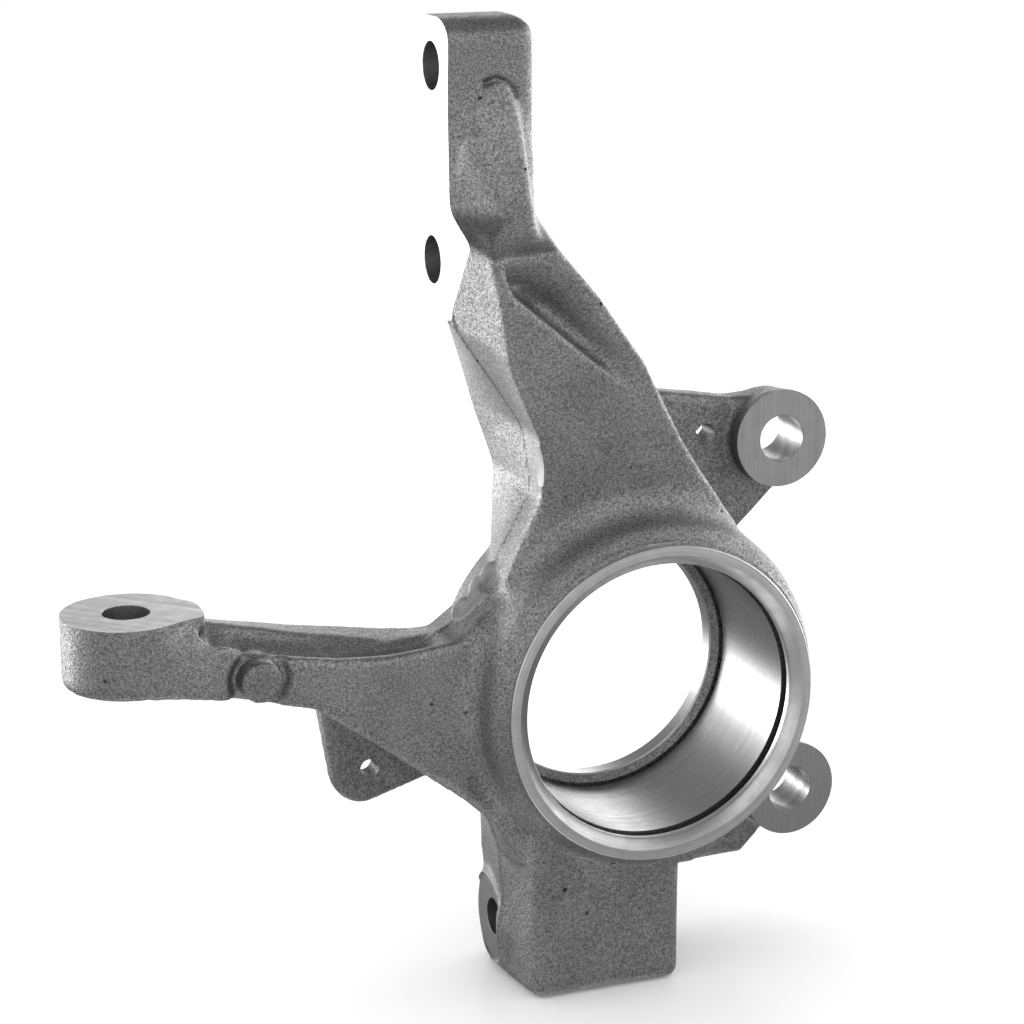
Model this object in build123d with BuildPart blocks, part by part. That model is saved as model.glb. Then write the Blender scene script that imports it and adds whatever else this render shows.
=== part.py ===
from build123d import *
import os

# Steering knuckle, one iron casting with machined faces, in millimetres.
# Origin: on the bearing bore's axis, at the outboard end of the bearing seat.
# +X towards the caliper side, +Y inboard (along the bore), +Z up, towards the strut.
# The masses are modelled with Y = 0 in the plane of the housing's outboard lip and moved last.

# Casting: two mould halves meet on the plane Y = parting_y and draw apart along Y
parting_y = 24.0
cut_margin = 5.0

# Bearing housing: its walls are measured out from the bearing seat, and its steps inwards from it
seat_diameter = 74.0
seat_length = 37.0
housing_length = 50.0
lip_wall = 6.0
lip_depth = 1.0
lip_step = 0.8
lip_bevel = 2.0
entry_clearance = 0.5
ring_groove_start = 4.0
ring_groove_width = 2.2
ring_groove_depth = 2.0
shoulder_height = 1.0
rear_step = 3.0
rear_cone_length = 2.8
rear_bevel = 1.0
collar_wall = 11.0
collar_depth = 11.0
body_wall = 12.5
body_draft = 5.0
root_inset = 17.0

# Strut flange
strut_face_x = -49.5
strut_thickness = 23.4
strut_axis_y = 37.5
strut_upper_z = 163.7
strut_spacing = 49.2
strut_hole_diameter = 12.2
strut_head_width = 29.2
strut_head_height = 25.0
strut_head_round = 10.5
strut_waist = 25.0
strut_foot_drop = 12.5
strut_stock = 3.0

# Upright arm, its sloping near side and its cored pocket
arm_near_y = 2.0
arm_far_y = 48.0
pocket_mouth_y = 1.0
pocket_floor_y = 15.0

# Tongue that carries the strut flange's near side down onto the upright arm
tongue_foot_y = 26.0
tongue_crest_y = 2.0

# Steering arm and its tie-rod boss
tie_x = -136.1
tie_y = 23.5
tie_top_z = 34.1
tie_height = 18.6
tie_boss_diameter = 33.0
tie_hole_diameter = 12.0
tie_edge_round = 2.5
steer_near_y = 8.0
steer_far_y = 40.0
rib_near_y = 29.0
gusset_crest_y = 14.0
channel_radius = 9.0
channel_y = 21.5
locator_x = -105.4
locator_z = 16.2
locator_recess_diameter = 16.0
locator_recess_y = 13.9
locator_pip_diameter = 11.4
locator_pip_y = 8.6

# Caliper lugs and the plates that carry them
lug_pad_y = 32.0
lug_plate_y = 38.0
lug_far_y = 46.5
lug_pad_diameter = 27.0
lug_back_diameter = 24.0
lug_hole_diameter = 12.8
upper_lug_x = 48.7
upper_lug_z = 59.8
lower_lug_x = 53.8
lower_lug_z = -41.9

# Dust-shield holes, tapped M6, and the tab that carries the lower one
shield_hole_diameter = 5.2
shield_upper_x = 28.8
shield_upper_z = 61.7
shield_lower_x = -68.4
shield_lower_z = -21.3
tab_thickness = 7.2
tab_round = 8.5

# Ball-joint boss with its stud bore, clamping slit and pinch-bolt hole
ball_near_y = 8.0
ball_far_y = 46.0
ball_left_x = -32.6
ball_right_x = 9.4
ball_bottom_z = -82.0
ball_draft_near = 2.1
ball_draft_far = 3.0
ball_edge_round = 3.5
stud_x = -12.0
stud_y = 24.0
stud_diameter = 19.0
stud_depth = 30.0
slit_width = 3.0
slit_height = 34.0
pinch_y = 34.6
pinch_z = -67.7
pinch_hole_diameter = 10.3
pinch_ear_diameter = 24.0
pinch_face_x = -34.6

seat_r = seat_diameter / 2
seat_start = ring_groove_start + ring_groove_width
seat_end = seat_start + seat_length
entry_r = seat_r + entry_clearance
rear_r = seat_r - rear_step
lip_r = seat_r + lip_wall
collar_r = seat_r + collar_wall
body_r = seat_r + body_wall
strut_lower_z = strut_upper_z - strut_spacing
strut_foot_z = strut_lower_z - strut_foot_drop
root_x = seat_r - root_inset
root_z = seat_r - root_inset

# Outlines of the cast masses in (x, z), clockwise from the top left
arm_near = [(strut_face_x - 4.0, 118.7), (-29.0, 121.0), (-17.5, 108.3), (-4.0, 89.9), (9.5, 66.0), (25.5, 42.5),
            (root_x, root_z), (-root_x, root_z), (-40.0, 33.0), (-31.5, 55.0), (-32.0, 72.0), (-45.6, 105.5)]
arm_split = [(strut_face_x - 7.5, 128.5), (-27.5, 128.0), (-16.0, 109.3), (-2.0, 90.7), (11.0, 66.8),
             (27.5, 42.5), (root_x, root_z), (-root_x, root_z), (-39.0, 35.0), (-27.8, 55.0), (-30.2, 72.0),
             (-53.0, 105.5)]
arm_far = [(strut_face_x, strut_foot_z), (-29.0, 118.0), (-18.5, 106.5), (-4.5, 88.5), (8.0, 65.0),
           (24.0, 41.0), (root_x, root_z), (-root_x, root_z), (-30.0, 34.0), (-30.0, 57.0), (-36.5, 75.0),
           (-42.0, 97.0)]
pocket_mouth = [(-44.6, 119.0), (-28.4, 117.6), (-19.2, 103.2), (-10.5, 87.0), (-9.0, 79.0), (-15.6, 85.5),
                (-26.2, 100.3), (-39.8, 109.5)]
pocket_floor = [(-33.5, 106.0), (-29.5, 105.0), (-21.5, 96.5), (-16.0, 89.5), (-15.0, 87.5), (-17.0, 89.0),
                (-24.0, 98.0), (-32.5, 104.5)]
tongue_foot = [(-44.5, 158.5), (-41.0, 161.8), (-37.6, 163.0), (-34.0, 161.8), (-31.8, 158.0), (-30.0, 152.0),
               (-28.2, 140.0), (-26.5, 129.0), (-24.0, 112.0), (strut_face_x, 112.0), (strut_face_x, 150.0)]
tongue_crest = [(-43.0, 150.0), (-42.5, 153.0), (-41.0, 154.0), (-39.5, 153.0), (-38.5, 150.0), (-38.0, 146.0),
                (-37.0, 138.0), (-35.0, 128.0), (-31.5, 112.0), (-45.0, 112.0), (-44.5, 145.0)]
steer_near = [(-134.0, 30.5), (-112.0, 25.2), (-96.5, 21.0), (-83.7, 18.9), (-70.6, 18.0), (-51.5, 19.5),
              (-34.0, 34.0), (-root_x, 10.0), (-root_x, -40.0), (-38.0, -44.0), (-42.0, -30.5), (-50.0, -23.5),
              (-68.8, -9.0), (-90.5, 6.5), (-105.0, 10.2), (-134.0, 16.0)]
steer_split = [(-130.0, 28.8), (-112.0, 24.6), (-96.5, 20.4), (-83.7, 18.2), (-70.6, 17.4), (-52.0, 20.0),
               (-35.0, 36.0), (-root_x, 10.0), (-root_x, -40.0), (-37.6, -42.0), (-40.0, -34.0), (-48.0, -27.0),
               (-69.4, -10.3), (-90.8, 5.2), (-105.2, 8.9), (-130.0, 15.4)]
steer_back = [(-124.0, 25.0), (-96.5, 19.5), (-70.6, 16.5), (-52.0, 19.5), (-35.0, 36.0), (-root_x, 10.0),
              (-root_x, -40.0), (-37.6, -42.0), (-40.0, -34.0), (-48.0, -27.0), (-69.4, -10.3), (-90.8, 5.2),
              (-124.0, 15.9)]
steer_far = [(-122.0, 25.0), (-96.5, 20.0), (-70.6, 17.5), (-52.0, 15.5), (-36.0, 27.0), (-root_x, 10.0),
             (-root_x, -30.0), (-36.0, -36.0), (-38.0, -30.0), (-46.0, -22.0), (-66.0, -5.0), (-88.0, 8.0),
             (-122.0, 16.4)]
rib_near = [(-124.0, 31.5), (-113.0, 27.4), (-90.0, 21.7), (-62.0, 16.2), (-46.0, 16.0), (-46.0, 8.0),
            (-88.0, 8.5), (-122.0, 16.0)]
rib_far = [(-122.0, 29.5), (-112.0, 25.2), (-90.0, 21.4), (-62.0, 17.2), (-46.0, 15.5), (-46.0, 5.0),
           (-88.0, 9.0), (-122.0, 16.5)]
boss_gusset_near = [(-134.0, 30.5), (-119.0, 26.5), (-110.0, 24.0), (-110.0, 12.0), (-134.0, 15.0)]
boss_gusset_far = [(-134.0, 36.0), (-119.0, 36.0), (-110.0, 24.0), (-110.0, 12.0), (-134.0, 15.0)]
channel_floor = [(-121.0, 25.0), (-111.0, 21.8), (-96.5, 18.4), (-83.7, 16.2), (-70.6, 15.4), (-56.0, 16.2)]
tab_outline = [(-83.6, 8.0), (-35.0, 10.0), (-35.0, -20.0), (-50.6, -25.6), (-76.7, -33.6)]
upper_plate = [(-5.0, 76.0), (16.5, 74.1), (37.0, 70.7), (upper_lug_x - 4.0, upper_lug_z + 11.5),
               (upper_lug_x + 5.0, upper_lug_z - 12.0), (47.9, 42.2), (39.9, 34.5), (root_x, root_z), (-5.0, 40.0)]
lower_plate = [(root_x, -25.0), (38.0, -20.0), (lower_lug_x + 4.0, lower_lug_z + 12.0),
               (lower_lug_x - 4.0, lower_lug_z - 12.5), (47.5, -57.0), (42.9, -62.1), (24.5, -62.9), (0.0, -62.9),
               (0.0, -40.0)]

# Sloping near sides, cut as profiles: (y, z) beside the upright arm, (x, y) above the steering arm
arm_front = [(-cut_margin, 135.0), (2.5, 135.0), (2.5, 110.0), (4.5, 95.0), (7.5, 82.0), (10.0, 68.0), (11.5, 56.0),
             (12.5, 46.0), (13.5, root_z), (-cut_margin, root_z)]
tongue_front = [(28.0, 163.0), (23.3, 161.5), (22.0, 152.0), (18.5, 143.0), (14.0, 133.0), (8.5, 125.0),
                (3.0, 119.0), (3.0, 110.0), (28.0, 110.0)]
steer_front = [(-160.0, -cut_margin), (-160.0, 7.0), (-133.0, 7.2), (-119.0, 9.6), (-104.0, 11.6), (-90.0, 12.0),
               (-50.0, 12.0), (-44.0, 14.5), (-root_x, 14.5), (-root_x, -cut_margin)]


def outline(points, y):
    """Face of a closed polygon of (x, z) points on the plane at the given depth."""
    with BuildSketch(Plane.XZ.offset(-y)) as sketch:
        with BuildLine():
            Polyline(*points, close=True)
        make_face()
    return sketch.sketch.face()


def side_outline(points, x):
    """Face of a closed polygon of (y, z) points on the plane at the given x."""
    with BuildSketch(Plane.YZ.offset(x)) as sketch:
        with BuildLine():
            Polyline(*points, close=True)
        make_face()
    return sketch.sketch.face()


def drafted(points_a, y_a, points_b, y_b, mode=Mode.ADD):
    """Adds a block ruled from one outline to another."""
    loft(sections=[outline(points_a, y_a), outline(points_b, y_b)], ruled=True, mode=mode)


def round_holes(plane, centres, diameter, length):
    """Cuts round holes of one size from a plane against its normal."""
    with BuildSketch(plane) as sketch:
        with Locations(*centres):
            Circle(diameter / 2)
    extrude(sketch.sketch, amount=-length, mode=Mode.SUBTRACT)


# Bearing housing: a turned ring with a flared cast collar behind the machined lip
with BuildPart() as housing:
    with BuildSketch(Plane.XY):
        with BuildLine():
            Polyline(
                (0, 0), (lip_r, 0), (lip_r, lip_depth), (lip_r - lip_step, lip_depth), (collar_r, collar_depth),
                (body_r, parting_y), (body_r - body_draft, housing_length), (0, housing_length), close=True)
        make_face()
    revolve(axis=Axis.Y)

# Upright arm in its two mould halves, with its sloping near side and its pocket
with BuildPart() as arm:
    drafted(arm_split, parting_y, arm_near, arm_near_y)
    drafted(arm_split, parting_y, arm_far, arm_far_y)
    extrude(side_outline(arm_front, 2 * strut_face_x), amount=-3 * strut_face_x, mode=Mode.SUBTRACT)

# Strut flange: a plate across X with a rounded head, and the tongue in front of it
with BuildPart() as flange:
    with BuildSketch(Plane.YZ.offset(strut_face_x - strut_stock)):
        with Locations((strut_axis_y, strut_upper_z)):
            RectangleRounded(strut_head_width, strut_head_height, strut_head_round)
        with Locations((strut_axis_y, (strut_upper_z + strut_foot_z) / 2)):
            Rectangle(strut_waist, strut_upper_z - strut_foot_z)
    extrude(amount=strut_thickness + strut_stock)

with BuildPart() as tongue:
    drafted(tongue_foot, tongue_foot_y, tongue_crest, tongue_crest_y)
    extrude(side_outline(tongue_front, 2 * strut_face_x), amount=-2 * strut_face_x, mode=Mode.INTERSECT)

# Steering arm: near block, taller rib behind it, shallow channel between them, and the tie-rod boss
with BuildPart() as steering_arm:
    drafted(steer_split, parting_y, steer_near, steer_near_y)
    drafted(steer_back, parting_y, steer_far, steer_far_y)
    drafted(rib_near, rib_near_y, rib_far, steer_far_y)
    with BuildLine(Plane.XZ.offset(-channel_y)) as channel_path:
        Spline(*[(x, z + channel_radius) for x, z in channel_floor])
    with BuildSketch(Plane(channel_path.line @ 0, z_dir=channel_path.line % 0)):
        Circle(channel_radius)
    sweep(path=channel_path.line, mode=Mode.SUBTRACT)
    drafted(boss_gusset_far, gusset_crest_y, boss_gusset_near, steer_near_y)
    drafted(boss_gusset_far, gusset_crest_y, boss_gusset_far, parting_y)
    drafted(boss_gusset_far, parting_y, boss_gusset_near, steer_far_y - cut_margin)
    with BuildSketch(Plane.XY.offset(-2 * body_r)):
        with BuildLine():
            Polyline(*steer_front, close=True)
        make_face()
    extrude(amount=4 * body_r, mode=Mode.SUBTRACT)

with BuildPart() as tie_boss:
    with BuildSketch(Plane.XY.offset(tie_top_z - tie_height)):
        with Locations((tie_x, tie_y)):
            Circle(tie_boss_diameter / 2)
    extrude(amount=tie_height + strut_stock)
    fillet(tie_boss.faces().sort_by(Axis.Z)[0].edges(), tie_edge_round)

# Ball-joint boss, wider at the parting plane, with an ear round the pinch bolt
with BuildPart() as ball_boss:
    with BuildSketch(Plane.XZ.offset(-parting_y)) as ball_sketch:
        with BuildLine():
            Polyline(
                (ball_left_x - 3 * ball_draft_near, -root_z), (ball_right_x + ball_draft_near / 2, -root_z),
                (ball_right_x + ball_draft_near / 2, ball_bottom_z), (ball_left_x - ball_draft_near, ball_bottom_z),
                close=True)
        make_face()
    near_face = outline(
        [(ball_left_x, -root_z), (ball_right_x, -root_z), (ball_right_x, ball_bottom_z),
         (ball_left_x, ball_bottom_z)], ball_near_y)
    far_face = outline(
        [(ball_left_x - ball_draft_far, -root_z), (ball_right_x, -root_z), (ball_right_x, ball_bottom_z),
         (ball_left_x, ball_bottom_z)], ball_far_y)
    split_face = ball_sketch.sketch.face()
    loft(sections=[split_face, near_face], ruled=True)
    loft(sections=[split_face, far_face], ruled=True)
    near_edges = ball_boss.faces().sort_by(Axis.Y)[0].edges().sort_by(Axis.Z)
    fillet(near_edges[0:3], ball_edge_round)

with BuildPart() as pinch_ear:
    with BuildSketch(Plane.YZ.offset(pinch_face_x)):
        with Locations((pinch_y, pinch_z)):
            Circle(pinch_ear_diameter / 2)
    extrude(amount=stud_x - pinch_face_x)

# Caliper lugs and the shield tab, plates on the far side of the parting plane
with BuildPart() as lugs:
    extrude(outline(upper_plate, lug_plate_y), amount=lug_plate_y - lug_far_y)
    extrude(outline(lower_plate, lug_plate_y), amount=lug_plate_y - lug_far_y)
    for lug_x, lug_z in ((upper_lug_x, upper_lug_z), (lower_lug_x, lower_lug_z)):
        with BuildSketch(Plane.XZ.offset(-lug_pad_y)) as pad:
            with Locations((lug_x, lug_z)):
                Circle(lug_pad_diameter / 2)
        with BuildSketch(Plane.XZ.offset(-lug_far_y)) as back:
            with Locations((lug_x, lug_z)):
                Circle(lug_back_diameter / 2)
        loft(sections=[pad.sketch.face(), back.sketch.face()])

with BuildPart() as tab:
    extrude(outline(tab_outline, lug_plate_y), amount=-tab_thickness)
    fillet(tab.edges().filter_by(Axis.Y).sort_by(Axis.Z)[0], tab_round)

# The masses as one, then the machined faces, bores and holes
with BuildPart() as machined:
    for piece in (housing, arm, flange, tongue, steering_arm, tie_boss, ball_boss, pinch_ear, lugs, tab):
        add(piece.part)

    # Cored pocket in the upright arm's near side
    drafted(pocket_mouth, pocket_mouth_y, pocket_floor, pocket_floor_y, mode=Mode.SUBTRACT)

    # Locator recess with its pip on the steering arm's near side
    round_holes(Plane.XZ.offset(-locator_recess_y), [(locator_x, locator_z)], locator_recess_diameter,
                -locator_recess_y)
    with BuildSketch(Plane.XZ.offset(-locator_pip_y)):
        with Locations((locator_x, locator_z)):
            Circle(locator_pip_diameter / 2)
    extrude(amount=locator_pip_y - locator_recess_y - cut_margin)

    # Strut face and tie-rod face, milled flat
    with BuildSketch(Plane.YZ.offset(strut_face_x)):
        with Locations((parting_y, strut_upper_z - strut_spacing / 2)):
            Rectangle(4 * parting_y, 2 * strut_spacing)
    extrude(amount=-4 * strut_stock, mode=Mode.SUBTRACT)
    with BuildSketch(Plane.XY.offset(tie_top_z)):
        with Locations((tie_x, tie_y)):
            Rectangle(2 * tie_boss_diameter, 2 * tie_boss_diameter)
    extrude(amount=4 * strut_stock, mode=Mode.SUBTRACT)

    # Bearing bore, turned: bevelled entry, snap-ring groove, seat, shoulder, rear cone and rim
    with BuildSketch(Plane.XY):
        with BuildLine():
            Polyline(
                (0, -cut_margin), (entry_r + lip_bevel + cut_margin, -cut_margin), (entry_r, lip_bevel),
                (entry_r, ring_groove_start), (seat_r + ring_groove_depth, ring_groove_start),
                (seat_r + ring_groove_depth, seat_start), (seat_r, seat_start), (seat_r, seat_end),
                (seat_r - shoulder_height, seat_end), (rear_r, seat_end + rear_cone_length),
                (rear_r, housing_length - rear_bevel), (rear_r + rear_bevel, housing_length),
                (rear_r + rear_bevel, housing_length + cut_margin), (0, housing_length + cut_margin), close=True)
        make_face()
    revolve(axis=Axis.Y, mode=Mode.SUBTRACT)

    # Round holes: strut bolts, tie-rod stud, caliper bolts, shield screws
    round_holes(Plane.YZ.offset(0), [(strut_axis_y, strut_upper_z), (strut_axis_y, strut_lower_z)],
                strut_hole_diameter, -2 * strut_face_x)
    round_holes(Plane.XY.offset(2 * tie_top_z), [(tie_x, tie_y)], tie_hole_diameter, 2 * tie_top_z)
    round_holes(Plane.XZ.offset(-lug_far_y), [(upper_lug_x, upper_lug_z), (lower_lug_x, lower_lug_z)],
                lug_hole_diameter, parting_y - lug_far_y)
    round_holes(Plane.XZ.offset(-lug_far_y), [(shield_upper_x, shield_upper_z), (shield_lower_x, shield_lower_z)],
                shield_hole_diameter, parting_y - lug_far_y)

    # Ball-stud bore from below, clamping slit to the far side, pinch-bolt hole across it
    round_holes(Plane.XY.offset(ball_bottom_z + stud_depth), [(stud_x, stud_y)], stud_diameter, stud_depth)
    with BuildSketch(Plane.XY.offset(ball_bottom_z)):
        with Locations((stud_x, stud_y + ball_far_y / 2)):
            Rectangle(slit_width, ball_far_y)
    extrude(amount=slit_height, mode=Mode.SUBTRACT)
    round_holes(Plane.YZ.offset(ball_right_x + cut_margin), [(pinch_y, pinch_z)], pinch_hole_diameter,
                ball_right_x - pinch_face_x + 2 * cut_margin)

# The finished casting, with its origin at the outboard end of the bearing seat
with BuildPart() as knuckle_casting:
    with Locations((0, -seat_start, 0)):
        add(machined.part)

knuckle_casting.part.label = "knuckle_casting"
os.makedirs("parts", exist_ok=True)
export_step(knuckle_casting.part, "parts/knuckle_casting.step")
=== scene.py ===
"""Steering knuckle: a sand-cast iron blank with soft fillets, then machined where other parts seat.

The casting is made from a copy of the frame's solid as a distance field, in which stock is left on the machined faces,
concave corners get fillets and edges get roundings. The machining tools are then cut out of it with crisp edges, so
each machined face keeps its own finish.
"""
import logging
import math
from dataclasses import dataclass, field
from enum import Enum
from typing import Callable, Sequence

import bmesh
import bpy
import numpy as np
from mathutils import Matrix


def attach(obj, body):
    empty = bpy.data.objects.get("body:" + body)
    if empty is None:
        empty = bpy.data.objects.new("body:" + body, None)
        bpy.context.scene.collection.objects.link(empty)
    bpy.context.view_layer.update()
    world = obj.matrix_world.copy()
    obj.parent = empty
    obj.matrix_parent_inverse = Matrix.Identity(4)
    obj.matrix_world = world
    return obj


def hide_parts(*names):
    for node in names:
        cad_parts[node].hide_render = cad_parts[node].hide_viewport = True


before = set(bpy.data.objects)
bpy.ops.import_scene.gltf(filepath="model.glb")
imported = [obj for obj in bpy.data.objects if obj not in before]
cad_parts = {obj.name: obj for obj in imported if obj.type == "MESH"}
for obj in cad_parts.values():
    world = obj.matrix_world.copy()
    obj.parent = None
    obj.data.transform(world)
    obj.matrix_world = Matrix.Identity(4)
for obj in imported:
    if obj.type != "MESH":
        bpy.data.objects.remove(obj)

import openvdb as vdb
from mathutils import Matrix, Vector

log = logging.getLogger("knuckle")
NODE = "knuckle_casting"
BODY = "root"
MM = 0.001
LIP_AHEAD = 6.2

Point2 = tuple[float, float]
Point3 = tuple[float, float, float]

# Places of the machined faces and holes, in millimetres, for the stock and for the tools
STRUT_X, TIE_Z, PAD_Y, TAB_Y, BOSS_Z, EAR_X = -49.5, 34.1, 32.0, 38.0, -82.0, -34.6
STRUT_HOLES = ((37.5, 163.7), (37.5, 114.5))
TIE_HOLE, PINCH_HOLE, STUD_BORE = (-136.1, 23.5), (34.6, -67.7), (-12.0, 24.0)
UPPER_SHIELD, LOWER_SHIELD = (28.8, 61.7), (-68.4, -21.3)
UPPER_LUG, LOWER_LUG, PIP = (48.7, 59.8), (53.8, -41.9), (-105.4, 16.2)


class Surface(Enum):
    """The finishes on the part, and a darker skin that paints shade into recesses, in the order of its material slots.
    """

    CAST = 0
    TURNED = 1
    BORED = 2
    MILLED = 3
    DRILLED = 4
    GROUND = 5
    # Painted shade: a dark cast skin in the casting's pits and in the bore's groove and relief undercut
    PAINTED_SHADE = 6


def to_frame(points: np.ndarray) -> np.ndarray:
    """Turns millimetres with y from the lip's plane into the frame's metres.

    Args:
        points: Array of shape (n, 3).

    Returns:
        A new array of the same shape.
    """
    return (points - np.array([0.0, LIP_AHEAD, 0.0])) * MM


def from_frame(points: np.ndarray) -> np.ndarray:
    """Turns the frame's metres into millimetres with y from the lip's plane.

    Args:
        points: Array of shape (n, 3).

    Returns:
        A new array of the same shape.
    """
    return points / MM + np.array([0.0, LIP_AHEAD, 0.0])


def smooth(value: np.ndarray, start: float, end: float) -> np.ndarray:
    """A soft step from 0 at start to 1 at end.

    Args:
        value: Where to take the step.
        start: Value at which it leaves 0.
        end: Value at which it reaches 1; it may be below start.

    Returns:
        The step, of the same shape as value.
    """
    t = np.clip((value - start) / (end - start), 0.0, 1.0)
    return t * t * (3.0 - 2.0 * t)


def mesh_object(name: str, points: np.ndarray, faces: Sequence[Sequence[int]]) -> bpy.types.Object:
    """Makes a mesh object at the origin from points in millimetres.

    Args:
        name: Name of the object and its mesh.
        points: Array of shape (n, 3), y from the lip's plane.
        faces: Corner numbers of each face.

    Returns:
        The linked object.
    """
    mesh = bpy.data.meshes.new(name)
    mesh.from_pydata(to_frame(points).tolist(), [], [list(map(int, f)) for f in faces])
    mesh.validate()
    mesh.update()
    made = bpy.data.objects.new(name, mesh)
    bpy.context.scene.collection.objects.link(made)
    return made


def remove(*objects: bpy.types.Object) -> None:
    """Takes helper objects and their meshes out of the file.

    Args:
        objects: The objects to take out.
    """
    for item in objects:
        mesh = item.data
        bpy.data.objects.remove(item)
        if isinstance(mesh, bpy.types.Mesh) and mesh.users == 0:
            bpy.data.meshes.remove(mesh)


def applied(item: bpy.types.Object) -> bpy.types.Object:
    """Replaces an object's mesh by its evaluated one and clears its modifiers.

    Args:
        item: The object with modifiers.

    Returns:
        The same object.
    """
    graph = bpy.context.evaluated_depsgraph_get()
    result = bpy.data.meshes.new_from_object(item.evaluated_get(graph))
    old = item.data
    item.modifiers.clear()
    item.data = result
    if old.users == 0:
        bpy.data.meshes.remove(old)
    return item


@dataclass
class DistanceGrid:
    """A regular grid of signed distances in millimetres, negative inside the metal."""

    low: np.ndarray
    high: np.ndarray
    pitch: float = 0.7
    reach: float = 4.6
    first: np.ndarray = field(init=False)
    shape: tuple[int, int, int] = field(init=False)

    def __post_init__(self) -> None:
        """Works out the first sample and the number of samples."""
        self.first = np.floor(self.low / self.pitch).astype(int)
        self.shape = tuple(int(n) for n in np.ceil(self.high / self.pitch).astype(int) - self.first + 1)

    def axis(self, number: int) -> np.ndarray:
        """Sample places along one axis, shaped to spread over the grid.

        Args:
            number: 0, 1 or 2.

        Returns:
            The places in millimetres.
        """
        places = (self.first[number] + np.arange(self.shape[number])) * self.pitch
        spread = [1, 1, 1]
        spread[number] = -1
        return places.reshape(spread)

    def index(self, number: int, place: float) -> int:
        """Number of the sample nearest a place on one axis."""
        return int(round(place / self.pitch)) - int(self.first[number])

    def sampled(self, points: np.ndarray, triangles: np.ndarray | None, quads: np.ndarray | None,
                band: float) -> np.ndarray:
        """Distances to a closed mesh.

        Args:
            points: Mesh points in millimetres.
            triangles: Its triangles, or None.
            quads: Its quads, or None.
            band: How far out the distances have to be true.

        Returns:
            The grid's values.
        """
        spacing = vdb.createLinearTransform(voxelSize=self.pitch)
        lists = {"triangles": triangles, "quads": quads}
        lists = {k: np.ascontiguousarray(v, dtype=np.uint32) for k, v in lists.items() if v is not None and len(v)}
        level = vdb.FloatGrid.createLevelSetFromPolygons(
            np.ascontiguousarray(points, dtype=np.float32), transform=spacing,
            halfWidth=band / self.pitch + 2.0, **lists)
        values = np.empty(self.shape, np.float32)
        level.copyToArray(values, ijk=tuple(int(v) for v in self.first))
        return values

    def surface(self, values: np.ndarray, distance: float = 0.0) -> tuple[np.ndarray, np.ndarray]:
        """Quad mesh of the places at one distance.

        Args:
            values: The grid's values.
            distance: The wanted distance.

        Returns:
            The mesh's points and quads.
        """
        level = vdb.FloatGrid(float(values.max()))
        level.transform = vdb.createLinearTransform(voxelSize=self.pitch)
        level.gridClass = vdb.GridClass.LEVEL_SET
        level.copyFromArray(values, ijk=tuple(int(v) for v in self.first))
        return level.convertToQuads(distance)

    def true(self, values: np.ndarray) -> np.ndarray:
        """True distances to the surface on which the values are 0."""
        points, quads = self.surface(values)
        return self.sampled(points, None, quads, self.reach + 2.0)

    def closed(self, values: np.ndarray, radius: float) -> np.ndarray:
        """The shape with its concave corners filled to a radius.

        Args:
            values: The shape's distances.
            radius: Radius of the fillets in millimetres.

        Returns:
            The new shape's distances.
        """
        points, quads = self.surface(values, radius)
        return self.sampled(points, None, quads, radius + self.reach) + radius

    def opened(self, values: np.ndarray, radius: float) -> np.ndarray:
        """The shape with its edges rounded to a radius.

        Args:
            values: The shape's distances.
            radius: Radius of the roundings in millimetres.

        Returns:
            The new shape's distances.
        """
        points, quads = self.surface(values, -radius)
        return self.sampled(points, None, quads, radius + 2 * self.pitch) - radius

    def rod(self, axis: int, centre: Point2, radius: float, start: float, end: float) -> np.ndarray:
        """Distances to a round rod along one axis.

        Args:
            axis: 0, 1 or 2 for a rod along X, Y or Z.
            centre: Its centre on the other two axes, in their order.
            radius: Its radius.
            start: Where it starts on its axis.
            end: Where it ends.

        Returns:
            The rod's distances.
        """
        others = [n for n in range(3) if n != axis]
        across = np.sqrt((self.axis(others[0]) - centre[0]) ** 2 + (self.axis(others[1]) - centre[1]) ** 2) - radius
        along = np.abs(self.axis(axis) - (start + end) / 2) - (end - start) / 2
        return np.maximum(across, along).astype(np.float32)

    def prism(self, outline: Sequence[Point2]) -> np.ndarray:
        """Rough distances to an endless prism along Y.

        Args:
            outline: Its convex outline in (x, z), clockwise.

        Returns:
            The prism's distances.
        """
        worst = None
        for start, end in zip(outline, tuple(outline[1:]) + (outline[0],)):
            way = np.subtract(end, start) / math.dist(start, end)
            side = (self.axis(2) - start[1]) * way[0] - (self.axis(0) - start[0]) * way[1]
            worst = side if worst is None else np.maximum(worst, side)
        return worst

    def bar(self, low: Point3, high: Point3) -> np.ndarray:
        """Distances to a box with the given corners."""
        sides = [np.abs(self.axis(n) - (low[n] + high[n]) / 2) - (high[n] - low[n]) / 2 for n in range(3)]
        return np.maximum(np.maximum(sides[0], sides[1]), sides[2]).astype(np.float32)


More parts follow.
